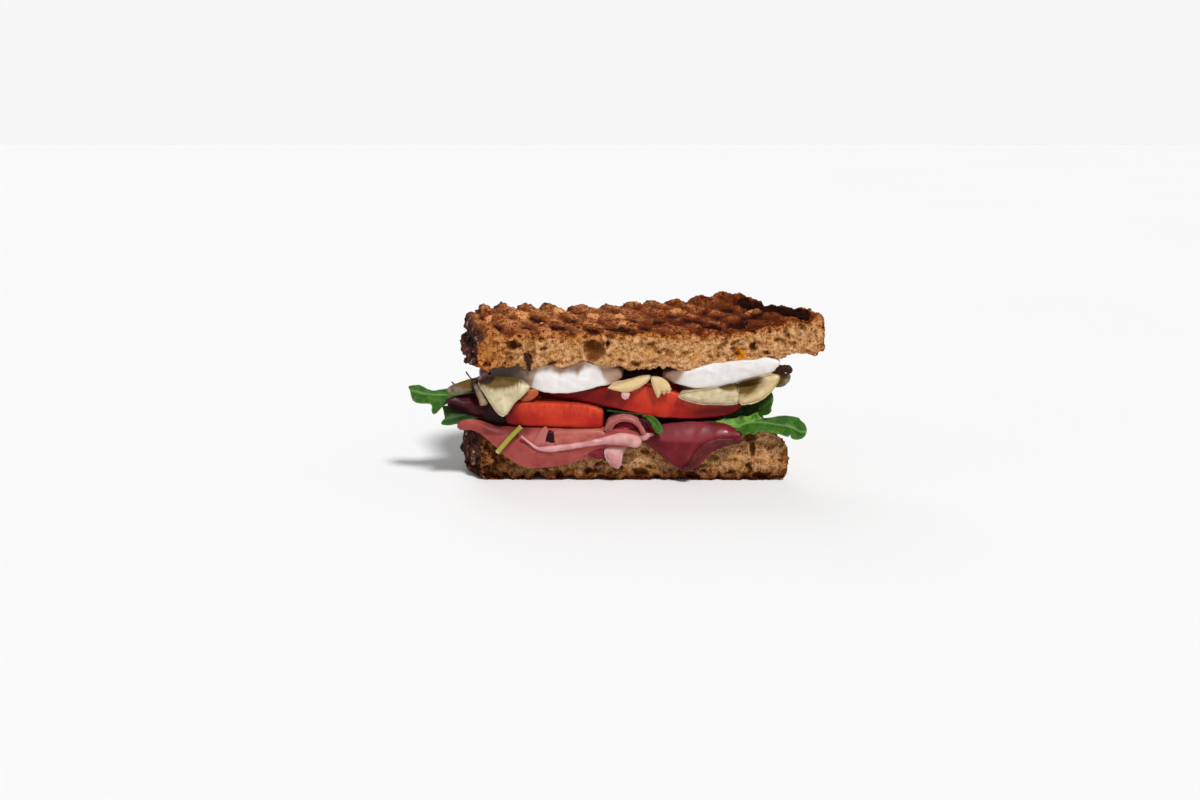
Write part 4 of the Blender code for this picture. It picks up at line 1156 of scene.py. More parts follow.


# artichoke: an outline seen from the front, drawn back by "deep"

# each petal's olive spot and its grey share are painted shade; a burnt spot is browning, except on the left
# petal and the tip, where it is painted shadow
petals = {
    "artichokeLeft": {
        "node": "artichoke_left", "front": -5.2, "deep": 6.0, "scale": (0.8, 0.6), "move": (-1.2, 2.4),
        "lean": (0.0, 0.12),
        "outline": (
            (-46.8, 36.2), (-44.0, 37.2), (-38.5, 36.9), (-32.9, 36.6), (-27.2, 35.1), (-29.9, 31.8),
            (-33.4, 29.0), (-35.6, 25.4), (-37.6, 23.9), (-39.6, 25.1), (-42.1, 28.6), (-44.5, 32.6),
        ),
        "axis": (0.1, -1.0), "tip": (-37.3, 24.0), "dish": ((-38.5, 31.5), (5.0, 3.6), 0.6),
        # on this petal the olive spot and the burnt spot are both painted shade under the bread
        "paintedOliveShade": ((-39.0, 38.8), (13.2, 7.1)), "burnt": ((-43.8, 37.4), (4.6, 2.8)), "gold": 0.0,
        "rimTone": 0.4,
    },
    "artichokeSide": {
        "node": "artichoke_side", "front": -4.4, "deep": 3.0, "scale": (0.9, 0.8), "move": (-0.4, 0.6),
        "round": 1.0,
        "outline": (
            (-48.2, 35.4), (-46.4, 35.4), (-44.4, 31.7), (-42.5, 28.2), (-45.7, 27.3), (-46.3, 30.6),
        ),
        "axis": (0.35, -1.0), "tip": (-45.0, 27.0), "gold": 0.0, "rimTone": 0.9, "paintedGreyShade": 1.0,
    },
    "artichokeTip": {
        "node": "artichoke_tip", "front": -2.4, "deep": 2.6, "scale": (0.94, 0.9), "move": (0.4, 0.2),
        "round": 1.2,
        "lean": (0.1, 0.3),
        "outline": (
            (-57.4, 33.9), (-57.0, 31.9), (-53.4, 31.4), (-49.9, 32.3), (-47.1, 33.5), (-46.4, 36.0),
            (-47.2, 37.2), (-50.5, 36.3), (-54.4, 35.0),
        ),
        "axis": (-1.0, -0.3), "tip": (-57.6, 33.0), "paintedOliveShade": ((-47.2, 36.8), (11.2, 5.6)), "gold": 0.0,
        "paintedGreyShade": 1.0,
        # this burnt spot is painted shadow, not browning
        "burnt": ((-46.6, 35.4), (3.6, 4.4)), "rimTone": 1.0,
    },
    "artichokeMiddleLeft": {
        "node": "artichoke_middle_left", "front": -4.2, "deep": 4.0, "scale": (0.85, 0.6),
        "move": (0.8, 1.0), "round": 1.3,
        "outline": (
            (-1.6, 34.0), (-0.6, 34.8), (3.9, 35.6), (8.8, 37.4), (12.9, 38.4), (14.3, 37.9), (12.9, 36.0),
            (10.2, 34.2), (7.4, 32.8), (4.6, 32.3), (1.1, 33.2),
        ),
        "axis": (-1.0, -0.35), "tip": (0.0, 34.4), "gold": 0.9, "lean": (0.05, 0.1),
    },
    "artichokeMiddleRight": {
        "node": "artichoke_middle_right", "front": -4.6, "deep": 4.0, "scale": (0.8, 0.7),
        "move": (-0.8, 0.6), "round": 1.2,
        "outline": (
            (14.3, 38.3), (17.1, 38.2), (19.6, 37.0), (21.0, 35.0), (21.0, 33.0), (20.0, 31.9),
            (19.4, 33.2), (18.6, 31.2), (17.9, 33.0), (16.4, 30.0), (15.2, 32.9), (14.3, 35.7),
            (13.8, 37.5),
        ),
        "axis": (0.4, -1.0), "tip": (16.8, 30.0), "gold": 0.9,
    },
    "artichokeRight": {
        "node": "artichoke_right", "front": -4.3, "deep": 9.0, "scale": (0.85, 0.6), "move": (0.5, 0.6),
        "round": 2.2,
        "outline": (
            (22.9, 31.4), (25.1, 32.4), (28.3, 32.9), (32.4, 33.6), (38.0, 34.5), (43.9, 35.6),
            (45.2, 32.9), (45.0, 28.6), (41.6, 27.9), (36.4, 28.0), (31.1, 28.2), (27.6, 29.1),
            (24.5, 30.1),
        ),
        "axis": (1.0, 0.05), "tip": (24.0, 31.2), "gold": 0.05, "paintedOliveShade": ((41.0, 35.6), (6.0, 3.4)),
    },
    "artichokeCup": {
        "node": "artichoke_cup", "front": -4.6, "deep": 8.0, "scale": (0.8, 0.6), "move": (-0.6, 1.2),
        "round": 2.0,
        "outline": (
            (44.0, 35.7), (46.6, 36.8), (51.8, 38.0), (57.3, 39.4), (59.3, 38.5), (58.1, 35.7),
            (56.1, 32.6), (52.7, 29.7), (49.2, 28.4), (45.1, 28.0), (44.2, 30.7),
        ),
        "axis": (1.0, 0.5), "tip": (59.0, 38.4), "dish": ((48.0, 35.6), (8.4, 4.6), 4.6),
        "paintedOliveShade": ((45.6, 36.4), (10.0, 7.0)), "gold": 0.6,
    },
    "artichokeFar": {
        "node": "artichoke_far", "front": 0.0, "deep": 4.5, "scale": (0.9, 0.9), "move": (-1.0, -0.6),
        "round": 0.8,
        "outline": (
            (53.4, 37.4), (56.4, 38.8), (58.8, 39.6), (60.6, 38.6), (62.4, 38.9), (63.3, 37.8),
            (62.8, 35.8), (61.0, 34.0), (58.6, 33.4), (56.4, 34.0),
        ),
        "axis": (0.3, 1.0), "tip": (62.6, 42.0), "burnt": ((58.8, 40.4), (2.4, 1.8)), "gold": 0.0,
        "paintedGreyShade": 1.0,
        "paintedOliveShade": ((57.4, 37.6), (5.6, 5.4)),
    },
    "artichokeBack": {
        "node": "artichoke_back", "front": 32.0, "deep": 8.0, "scale": (0.9, 0.8), "move": (1.0, 0.6),
        "outline": (
            (-40.0, 37.0), (-31.0, 38.0), (-21.0, 37.6), (-18.0, 34.0), (-25.0, 29.2), (-34.0, 30.0),
        ),
        "axis": (1.0, 0.1), "tip": (-18.0, 34.0), "gold": 0.2,
    },
}

petalTones = {
    "cream": screen(178, 162, 126), "pale": screen(206, 194, 164), "shade": screen(146, 120, 80),
    # ash and stone: the greys of petals painted in shade
    "ash": screen(92, 78, 62),
    "stone": screen(146, 132, 110),
    # olive: painted shade; burnt: browning, and painted shadow on two petals
    "gold": screen(212, 178, 122), "paintedOliveShade": screen(88, 62, 0), "burnt": screen(48, 22, 10),
    "rim": screen(132, 84, 60),
}


def makePetal(name, piece, material):
    obj, rim, facing = slab(name, piece, material)
    x, y, z = placesOf(obj).T
    length = math.hypot(*piece["axis"])
    axisX, axisZ = piece["axis"][0] / length, piece["axis"][1] / length
    fromTipX, fromTipZ = x - piece["tip"][0], z - piece["tip"][1]
    along, across = fromTipX * axisX + fromTipZ * axisZ, fromTipX * axisZ - fromTipZ * axisX
    fine, coarse = ripple(across / 0.6, along / 6, y / 3, 1), ripple(across / 1.8, along / 7, y / 4, 1)
    pushPoints(obj, 0.09 * fine + 0.1 * coarse + 0.14 * ripple(x, y, z, 2.6))
    if "dish" in piece:
        places = placesOf(obj)
        places[:, 1] += piece["dish"][2] * facing * spot(x, z, piece["dish"]) * smoothStep(rim / 0.9)
        movePoints(obj, places)
    for key, values in (("along", along), ("across", across), ("rim", rim)):
        storePoints(obj, key, values)
    for key in ("paintedOliveShade", "burnt"):
        storePoints(obj, key, spot(x, z, piece[key]) if key in piece else 0.0)
    for key, usual in (("gold", 0.0), ("paintedGreyShade", 0.0), ("rimTone", 0.25)):
        storePoints(obj, key, piece.get(key, usual))
    dress(obj, piece["node"])


def petalMaterial():
    settings = {
        "IOR": 1.4, "Specular IOR Level": 0.14, "Coat Weight": 0.03, "Coat Roughness": 0.25,
        "Subsurface Weight": 0.15, "Subsurface Scale": 0.002, "Subsurface Radius": (1.0, 0.8, 0.4),
    }
    material, tree, place = startMaterial("artichoke", settings)
    threads = vectorOf(tree, X=1.6 * attribute(tree, "across"), Y=0.18 * attribute(tree, "along"))
    fibre = grain(threads, 1.0, 3.0, 0.6)
    soft = grain(place, 0.3, 3.0)
    colour = mixColour(fade(soft, 0.3, 0.7), petalTones["cream"], petalTones["pale"])
    colour = mixColour(0.75 * attribute(tree, "gold"), colour, petalTones["gold"])
    colour = mixColour(fade(fibre, 0.45, 0.75, 0.0, 0.28), colour, petalTones["shade"])
    # the grey of a petal painted in shade
    grey = mixColour(fade(soft, 0.4, 0.65), petalTones["ash"], petalTones["stone"])
    colour = mixColour(attribute(tree, "paintedGreyShade"), colour, grey)
    rim = fade(attribute(tree, "rim"), 0.9, 0.1) * fade(soft, 0.45, 0.6) * attribute(tree, "rimTone")
    colour = mixColour(rim, colour, petalTones["rim"])
    # painted olive shade under the bread and in the cup's hollow
    paintedOliveShade = 0.5 * (fibre - 0.5) + attribute(tree, "paintedOliveShade")
    colour = mixColour(fade(paintedOliveShade, 0.03, 0.4, 0.0, 0.95), colour, petalTones["paintedOliveShade"])
    # burnt: browned tips and strands, and painted shadow on the left petal and the tip
    colour = mixColour(fade(attribute(tree, "burnt"), 0.05, 0.4), colour, petalTones["burnt"])
    return finishMaterial(material, colour, fade(fibre, 0.3, 0.7, 0.4, 0.6), fibre, 0.35, 0.0002)


petalLook = petalMaterial()
for name, piece in petals.items():
    makePetal(name, piece, petalLook)

strands = {
    "burntHook": {
        "width": 1.6, "burnt": 1.0,
        "path": (
            (57.8, -0.5, 38.2), (59.0, -0.9, 39.8), (60.7, -1.0, 40.5), (62.2, -0.9, 40.1),
            (62.9, -0.6, 38.9),
        ),
    },
    "burntDrip": {
        "width": 0.65, "burnt": 1.0,
        "path": ((-30.2, -0.4, 46.0), (-28.8, -0.9, 42.8), (-28.4, -1.2, 39.4)),
    },
    "strandRight": {
        "width": 0.22, "burnt": 0.5, "path": ((56.0, 0.6, 44.6), (57.3, 0.4, 42.2), (59.4, 0.2, 39.8)),
    },
    "strandLeft": {
        "width": 0.26, "burnt": 1.0, "path": ((-51.0, 2.0, 38.8), (-49.6, 1.6, 36.8), (-47.6, 0.6, 35.6)),
    },
    "strandFarLeft": {
        "width": 0.24, "burnt": 1.0, "path": ((-56.3, 3.0, 34.9), (-55.0, 2.0, 34.1), (-53.2, 0.4, 33.4)),
    },
}
for name, piece in strands.items():
    width = piece["width"]
    widths = ((0, width, width), (0.5, width, 0.9 * width), (1, 0.7 * width, 0.7 * width))
    obj = tube(name, piece["path"], widths, petalLook, 16, 60)
    x, y, z = placesOf(obj).T
    pushPoints(obj, 0.25 * width * ripple(x, y, z, 0.9))
    storePoints(obj, "burnt", piece["burnt"])
    dress(obj)
print("artichoke made")


# ham

# each row is x, then (y, z) of the lip, the crease and the hem where the ham hangs over the bread
leftHam = (
    (-54.0, (-0.4, 21.4), (-1.9, 20.8), (-1.4, 19.2)),
    (-47.0, (-0.8, 21.4), (-2.5, 20.4), (-2.0, 18.0)),
    (-41.0, (-1.2, 19.8), (-3.2, 17.6), (-2.4, 13.2)),
    (-36.0, (-1.4, 19.0), (-4.0, 15.4), (-2.8, 8.6)),
    (-31.5, (-1.6, 18.7), (-5.0, 13.8), (-3.2, 6.0)),
    (-26.5, (-1.8, 18.5), (-5.8, 12.4), (-3.4, 5.4)),
    (-19.0, (-1.8, 18.4), (-5.9, 12.4), (-3.4, 6.1)),
    (-11.0, (-1.8, 18.4), (-5.5, 14.0), (-3.2, 7.9)),
    (-3.0, (-1.6, 18.6), (-5.0, 16.2), (-3.4, 10.8)),
    (4.0, (-1.6, 18.6), (-4.9, 16.9), (-4.4, 13.0)),
    (11.0, (-1.4, 17.9), (-4.0, 15.6), (-3.8, 13.2)),
)

rightHam = (
    (12.3, (-1.5, 18.2), (-3.4, 16.6), (-2.8, 14.4)),
    (16.0, (-1.8, 19.2), (-4.4, 15.8), (-3.0, 11.2)),
    (20.0, (-2.0, 20.2), (-5.4, 14.6), (-3.4, 7.8)),
    (24.0, (-2.0, 20.7), (-6.0, 13.2), (-3.8, 5.2)),
    (27.0, (-2.0, 20.9), (-6.2, 12.8), (-4.0, 4.2)),
    (31.0, (-2.0, 21.0), (-6.0, 13.6), (-3.6, 6.4)),
    (35.0, (-2.0, 20.9), (-5.6, 15.2), (-3.0, 10.8)),
    (41.0, (-1.8, 20.0), (-4.8, 16.6), (-2.6, 13.2)),
    (46.0, (-1.4, 18.8), (-3.4, 17.2), (-2.4, 14.6)),
)


def apron(stations, shelf, rear, slant, ruffle):  # lies on the bread and hangs over its front edge
    def shape(uu, vv):
        places = np.zeros((*uu.shape, 3))
        for i, u in enumerate(uu[:, 0]):
            x = stations[0][0] + (stations[-1][0] - stations[0][0]) * u
            lip, crease, hem = (
                tuple(float(curveThrough([(s[0], s[k][j]) for s in stations], x)) for j in range(2))
                for k in (1, 2, 3)
            )
            back = rear[0] + (rear[1] - rear[0]) * u
            rise = ruffle * math.sin(x / 3.1) ** 2
            lean = slant[0] + (slant[1] - slant[0]) * u
            path = np.array((
                (back + 1.2 * math.sin(x / 5), shelf + rise), (back * 0.6, shelf + 0.25 * rise),
                (3.0, shelf), lip, crease, hem,
            ))
            lengths = lengthsAlong(path)
            y = curveThrough(list(zip(lengths, path[:, 0])), vv[i] * lengths[-1])
            z = curveThrough(list(zip(lengths, path[:, 1])), vv[i] * lengths[-1])
            places[i] = np.column_stack((x - lean * np.maximum(y - 3, 0), y, z))
        return places
    return shape


def upperShape(u, v):
    x = -57.4 + 23.0 * u
    low = curveThrough(((-58, 26.8), (-53, 24.0), (-46, 20.9), (-40, 19.9), (-34, 20.4)), x)
    high = curveThrough(((-58, 29.2), (-55, 30.4), (-50, 31.0), (-42, 31.4), (-34, 31.0)), x)
    y = -0.6 + 7.0 * u - 1.6 * np.sin(math.pi * v) + 1.1 * np.sin(5 * v + 6 * u)
    return np.stack((x, y, low + (high - low) * v), axis=-1)


def backShape(u, v):
    x = -6 + 36 * u
    y = 46.2 + 0.26 * x - 3.0 * v + (1.9 - 0.7 * v) * np.sin(x / 1.9) - 1.6 * u
    z = 20.6 + 5.0 * v * (0.35 + 0.65 * np.sin(math.pi * u) ** 0.5) + 0.8 * np.sin(x / 2.6) * v
    return np.stack((x + 0.8 * np.cos(x / 1.9), y, z), axis=-1)


hamPieces = {
    "hamLeft": {
        "node": "ham_left", "look": "pale", "size": (65, 56), "counts": (170, 150), "thickness": 1.1,
        "waves": ((0.3, 9, 6), (0.12, 3, 4)), "shape": apron(leftHam, 18.1, (31.0, 43.0), (0.0, 0.47), 1.2),
    },
    "hamRight": {
        "node": "ham_right", "look": "dark", "size": (34, 64), "counts": (110, 170), "thickness": 1.1,
        "waves": ((0.3, 6, 9), (0.12, 3, 4)),
        "shape": apron(rightHam, 18.9, (42.0, 50.0), (0.42, 0.30), 1.0),
    },
    "hamUpper": {
        "node": "ham_upper", "look": "upper", "size": (24, 9.5), "counts": (100, 50), "thickness": 1.1,
        "waves": ((0.4, 4, 2.4),), "shape": upperShape,
    },
    "hamBack": {
        "node": "ham_back", "look": "pale", "size": (60, 5.6), "counts": (220, 26), "thickness": 1.1,
        "waves": ((0.25, 3, 3),), "shape": backShape,
    },
}

hamTones = {
    "pale": {"base": screen(176, 90, 82), "deep": screen(150, 62, 58), "fat": screen(214, 160, 154)},
    "dark": {"base": screen(136, 36, 48), "deep": screen(92, 14, 24), "fat": screen(176, 92, 98)},
    "salmon": {"base": screen(172, 94, 80), "deep": screen(150, 72, 64), "fat": screen(210, 150, 134)},
    "blush": {"base": screen(174, 98, 92), "deep": screen(146, 70, 66), "fat": screen(214, 158, 150)},
    # upper: a copy of the ham painted in shade, for pieces that lie in shadow
    "upper": {"base": screen(62, 16, 22), "deep": screen(34, 6, 10), "fat": screen(104, 58, 62)},
    # hem: the hem's own mauve, painted darker as it also stands for the shade along it
    "hem": {"base": screen(98, 38, 38), "deep": screen(68, 18, 20), "fat": screen(150, 88, 84)},
    "inside": {"base": screen(158, 42, 62), "deep": screen(96, 18, 30), "fat": screen(176, 84, 96)},
    "shadow": {"base": screen(44, 4, 10), "deep": screen(26, 2, 6), "fat": screen(70, 16, 22)},
    "fat": {"base": screen(203, 153, 150), "deep": screen(180, 122, 122), "fat": screen(234, 206, 202)},
}


def hamMaterial(name, tones):
    settings = {
        "IOR": 1.42, "Specular IOR Level": 0.16, "Coat Weight": 0.03, "Coat Roughness": 0.2,
        "Subsurface Weight": 0.25, "Subsurface Scale": 0.002, "Subsurface Radius": (1.0, 0.35, 0.25),
    }
    material, tree, place = startMaterial(name, settings)
    onSheet = vectorOf(tree, X=0.1 * attribute(tree, "sheetU"), Y=0.42 * attribute(tree, "sheetV"))
    streaks = grain(onSheet, 1.0, 4.0, 0.6)
    soft = grain(place, 0.22, 3.0)
    colour = mixColour(fade(soft, 0.35, 0.68), tones["base"], tones["deep"])
    colour = mixColour(fade(streaks, 0.6, 0.72, 0.0, 0.6), colour, tones["fat"])
    # painted light on the right ham's upper flap and fold
    colour = mixColour(0.34 * attribute(tree, "paintedLight"), colour, tones["fat"])
    colour = mixColour(0.16 * fade(attribute(tree, "edge"), 1.4, 0.0), colour, tones["fat"])
    colour = mixColour(attribute(tree, "shade"), colour, hamTones["shadow"]["deep"])
    # the sheet's underside is painted darker, as shade
    colour = mixColour(0.5 * attribute(tree, "under"), colour, tones["deep"])
    height = streaks + grain(place, 2.5, 3.0)
    return finishMaterial(material, colour, fade(soft, 0.3, 0.7, 0.34, 0.5), height, 0.3, 0.0002)


hamSlabs = {
    "hamArch": {
        "node": "ham_arch", "look": "blush", "front": -4.6, "deep": 8.0, "scale": (0.95, 0.95),
        "move": (0.0, 1.0), "round": 1.2,
        "outline": (
            (-2.6, 18.7), (-1.2, 21.5), (1.1, 23.2), (3.9, 24.0), (7.1, 23.8), (9.9, 22.0), (12.0, 18.9),
            (12.6, 16.9), (10.9, 17.0), (9.7, 19.8), (7.6, 21.8), (4.3, 22.3), (1.5, 21.2), (0.2, 18.4),
        ),
    },
    "hamCurl": {
        "node": "ham_curl", "look": "fat", "front": -5.2, "deep": 3.0, "round": 1.8, "lean": (0.16, 0.0),
        "outline": (
            (-2.4, 12.6), (0.4, 13.6), (3.6, 13.9), (5.7, 12.8), (4.3, 10.4), (3.9, 6.5), (2.4, 4.9),
            (-0.2, 6.6), (-2.3, 9.9),
        ),
    },
    "hamPleat": {
        "node": "ham_pleat", "look": "blush", "front": -6.4, "deep": 2.2, "round": 1.0,
        "lean": (-0.2, 0.16),
        "outline": (
            (-27.6, 13.2), (-26.3, 16.3), (-24.7, 18.9), (-22.7, 21.0), (-21.6, 19.7), (-22.5, 17.1),
            (-23.4, 13.3),
        ),
    },
    "hamSlot": {
        "look": "shadow", "front": -5.4, "deep": 2.4, "round": 0.5,
        "outline": (
            (-23.6, 13.4), (-23.6, 16.6), (-22.4, 19.0), (-20.4, 18.8), (-18.6, 15.6), (-17.9, 12.4),
            (-21.4, 12.9),
        ),
    },
    "hamPanel": {
        "look": "salmon", "front": -5.5, "deep": 2.6, "round": 0.7, "lean": (0.0, 0.3),
        "outline": (
            (-20.6, 18.7), (-15.7, 19.0), (-8.0, 19.2), (-2.4, 19.2), (-1.7, 16.6), (-7.3, 14.6),
            (-13.6, 13.5), (-19.0, 13.1),
        ),
    },
    "hamUnderCurl": {
        "look": "dark", "front": -4.6, "deep": 2.4, "round": 1.2,
        "outline": ((-10.4, 11.0), (-5.2, 13.4), (-1.6, 13.4), (-1.8, 8.6), (-5.6, 8.6)),
    },
    "hamStub": {
        "look": "fat", "front": -4.4, "deep": 2.4, "round": 0.8,
        "outline": ((3.7, 32.6), (3.6, 30.9), (4.8, 29.8), (6.3, 30.3), (6.9, 32.4)),
    },
    "hamBit": {
        "look": "upper", "front": -2.2, "deep": 3.0, "round": 0.9,
        "outline": ((9.2, 22.2), (12.0, 22.5), (14.2, 20.7), (13.5, 18.2), (10.3, 18.6)),
    },
    "hamBead": {
        "look": "fat", "front": -4.6, "deep": 1.8, "round": 0.6,
        "outline": ((39.0, 19.2), (40.6, 19.1), (41.9, 18.1), (41.8, 17.1), (40.3, 17.5), (39.0, 18.3)),
    },
    "hamGapLeft": {
        "look": "shadow", "front": 1.0, "deep": 8.0, "round": 1.6, "scale": (1.0, 1.0), "move": (0.0, 0.0),
        "outline": (
            (-52.0, 19.4), (-50.0, 27.0), (-42.0, 30.0), (-34.0, 26.0), (-30.0, 18.6), (-40.0, 18.4),
        ),
    },
}


def markSheet(obj, x, z, edge):  # lets the ham's streaks run along a piece that isn't a sheet
    for key, values in (("sheetU", x), ("sheetV", z), ("edge", edge)):
        storePoints(obj, key, values)


def paintedLightAt(x, y, z):  # painted light: the right ham's upper flap and fold are painted paler, where they catch more light
    flap = smoothStep((z - 15.0 + 0.03 * (x - 17)) / 1.4)
    flap = flap * smoothStep((x - 15) / 2.4) * smoothStep((36 - x) / 5)
    fold = 0.5 * smoothStep(1 - np.hypot((x - 27.5) / 4.5, (z - 9.5) / 6.5))
    return np.maximum(flap, fold) * smoothStep((1.0 - y) / 1.5)


def shadeAt(x, z):  # the left ham lies in the shade of what is above it
    return smoothStep((z - 16.4) / 1.4) * smoothStep((x + 48) / 5) * smoothStep((-26 - x) / 4)


hamLooks = {key: hamMaterial(f"{key} ham", tones) for key, tones in hamTones.items()}
for name, piece in hamPieces.items():
    obj = sheet(name, piece, piece["shape"], hamLooks[piece["look"]])
    x, y, z = placesOf(obj).T
    if name == "hamRight":
        storePoints(obj, "paintedLight", paintedLightAt(x, y, z))
    if name == "hamLeft":
        storePoints(obj, "shade", shadeAt(x, z))
    dress(obj, piece["node"])

for name, piece in hamSlabs.items():
    obj, rim, facing = slab(name, piece, hamLooks[piece["look"]])
    x, y, z = placesOf(obj).T
    pushPoints(obj, 0.16 * ripple(x, y, z, 2.6) + 0.06 * ripple(x, y, z, 0.9))
    markSheet(obj, x, z, rim)
    dress(obj, piece.get("node"))

rolledEdges = {  # widths are (share of the path, half width, half height)
    "hamFatBand": {
        "path": (
            (-31.4, -6.2, 17.4), (-28.2, -6.4, 14.9), (-25.8, -6.7, 13.2), (-23.0, -6.9, 12.9),
            (-19.5, -6.9, 13.1), (-12.8, -6.6, 14.0), (-6.4, -6.3, 15.0), (-2.0, -6.2, 15.8),
            (2.0, -6.2, 16.3), (6.0, -6.0, 16.1), (10.8, -5.6, 14.7),
        ),
        "widths": (
            (0, 0.5, 0.3), (0.15, 0.6, 0.5), (0.25, 0.9, 1.1), (0.5, 0.9, 0.95), (0.7, 1.1, 1.35),
            (0.84, 1.4, 2.2), (1, 1.3, 2.2),
        ),
        "look": "fat", "slot": "cured_ham",
    },
    "hamHem": {
        "path": (
            (25.2, -5.4, 5.6), (27.6, -6.4, 6.4), (29.3, -6.9, 9.0), (30.9, -7.0, 11.9), (33.3, -6.9, 14.1),
            (36.0, -6.6, 15.1), (38.8, -6.2, 15.5), (42.0, -5.6, 15.5), (45.0, -4.4, 16.0),
        ),
        "widths": ((0, 0.6, 0.7), (0.2, 0.9, 1.3), (0.6, 0.9, 1.4), (0.9, 0.8, 1.2), (1, 0.5, 0.7)),
        "look": "hem", "slot": "dark_cured_ham",
    },
    "paleStrip": {
        "path": ((10.0, -3.6, 16.0), (12.7, -3.9, 16.8), (16.6, -3.8, 17.2)),
        "widths": ((0, 0.6, 1.0), (0.5, 0.6, 1.2), (1, 0.5, 0.6)),
        "look": "fat", "slot": "cured_ham",
    },
}

for name, piece in rolledEdges.items():
    obj = tube(name, piece["path"], piece["widths"], hamLooks[piece["look"]], 26, 150)
    x, y, z = placesOf(obj).T
    pushPoints(obj, 0.12 * ripple(x, y, z, 2.2) + 0.05 * ripple(x, y, z, 0.8))
    x, y, z = placesOf(obj).T
    markSheet(obj, x, z, 2.0)
    dress(obj)

innerTubes = {  # what is seen through the gaps
    "hamInArch": {
        "path": ((4.8, -2.6, 18.4), (4.8, 3.0, 19.0), (4.6, 10.0, 19.6)),
        "widths": ((0, 4.4, 3.2), (0.5, 5.0, 3.0), (1, 4.0, 2.0)), "look": "inside",
    },
    "hamInGap": {
        "path": ((-8.0, 15.0, 36.4), (8.0, 12.0, 36.8), (24.0, 15.0, 37.4)),
        "widths": ((0, 5.0, 2.0), (0.5, 7.0, 3.4), (1, 5.0, 2.0)), "look": "shadow",
    },
}

for name, piece in innerTubes.items():
    obj = tube(name, piece["path"], piece["widths"], hamLooks[piece["look"]], 60, 110)
    x, y, z = placesOf(obj).T
    pushPoints(obj, 0.7 * ripple(x, y / 2, z, 3.4) + 0.25 * ripple(x, y, z, 1.3))
    x, y, z = placesOf(obj).T
    markSheet(obj, x, z * 2, 2.0)
    dress(obj)

innerLayers = {
    "innerHamLow": {"look": "dark", "height": 0.12, "from": 0.36, "to": 0.95, "seed": 1},
    "innerHamMid": {"look": "shadow", "height": 0.3, "from": 0.38, "to": 0.9, "seed": 2},
    "innerHamDark": {"look": "dark", "height": 0.48, "from": 0.4, "to": 0.94, "seed": 3},
    "innerHamPale": {"look": "pale", "height": 0.66, "from": 0.42, "to": 0.92, "seed": 4},
    "innerHamHigh": {"look": "upper", "height": 0.86, "from": 0.4, "to": 0.9, "seed": 5},
}
innerSheet = {"size": (88, 34), "counts": (150, 70), "thickness": 1.3, "waves": ()}
innerPlan = planGrid(baseSlice)


def layerShape(piece):  # a folded sheet between the slices, out to just inside the crust
    def shape(u, v):
        steps = np.array(innerPlan.shape[:2]) - 1
        across = (0.1 + 0.81 * u) * steps[0]
        back = (piece["from"] + (piece["to"] - piece["from"]) * v) * steps[1]
        i, j = np.minimum(across.astype(int), steps[0] - 1), np.minimum(back.astype(int), steps[1] - 1)
        a, b = (across - i)[..., None], (back - j)[..., None]
        place = (1 - a) * (1 - b) * innerPlan[i, j] + a * (1 - b) * innerPlan[i + 1, j]
        place = place + (1 - a) * b * innerPlan[i, j + 1] + a * b * innerPlan[i + 1, j + 1]
        x, y = place[..., 0], place[..., 1]
        x = x + 1.6 * ripple(x, y, 9 * piece["seed"], 9.0)
        y = y + 1.6 * ripple(x, y, 31 * piece["seed"], 8.0)
        low, high = 18.4, topInner(x, y) - 1.6
        fold = 1.5 * ripple(x, y, 17 * piece["seed"], 7.0) + 0.5 * ripple(x, y, 5 * piece["seed"], 3.0)
        return np.stack((x, y, low + (high - low) * piece["height"] + fold), axis=-1)
    return shape


for name, piece in innerLayers.items():
    obj = sheet(name, innerSheet, layerShape(piece), hamLooks[piece["look"]])
    dress(obj)
print("ham made")
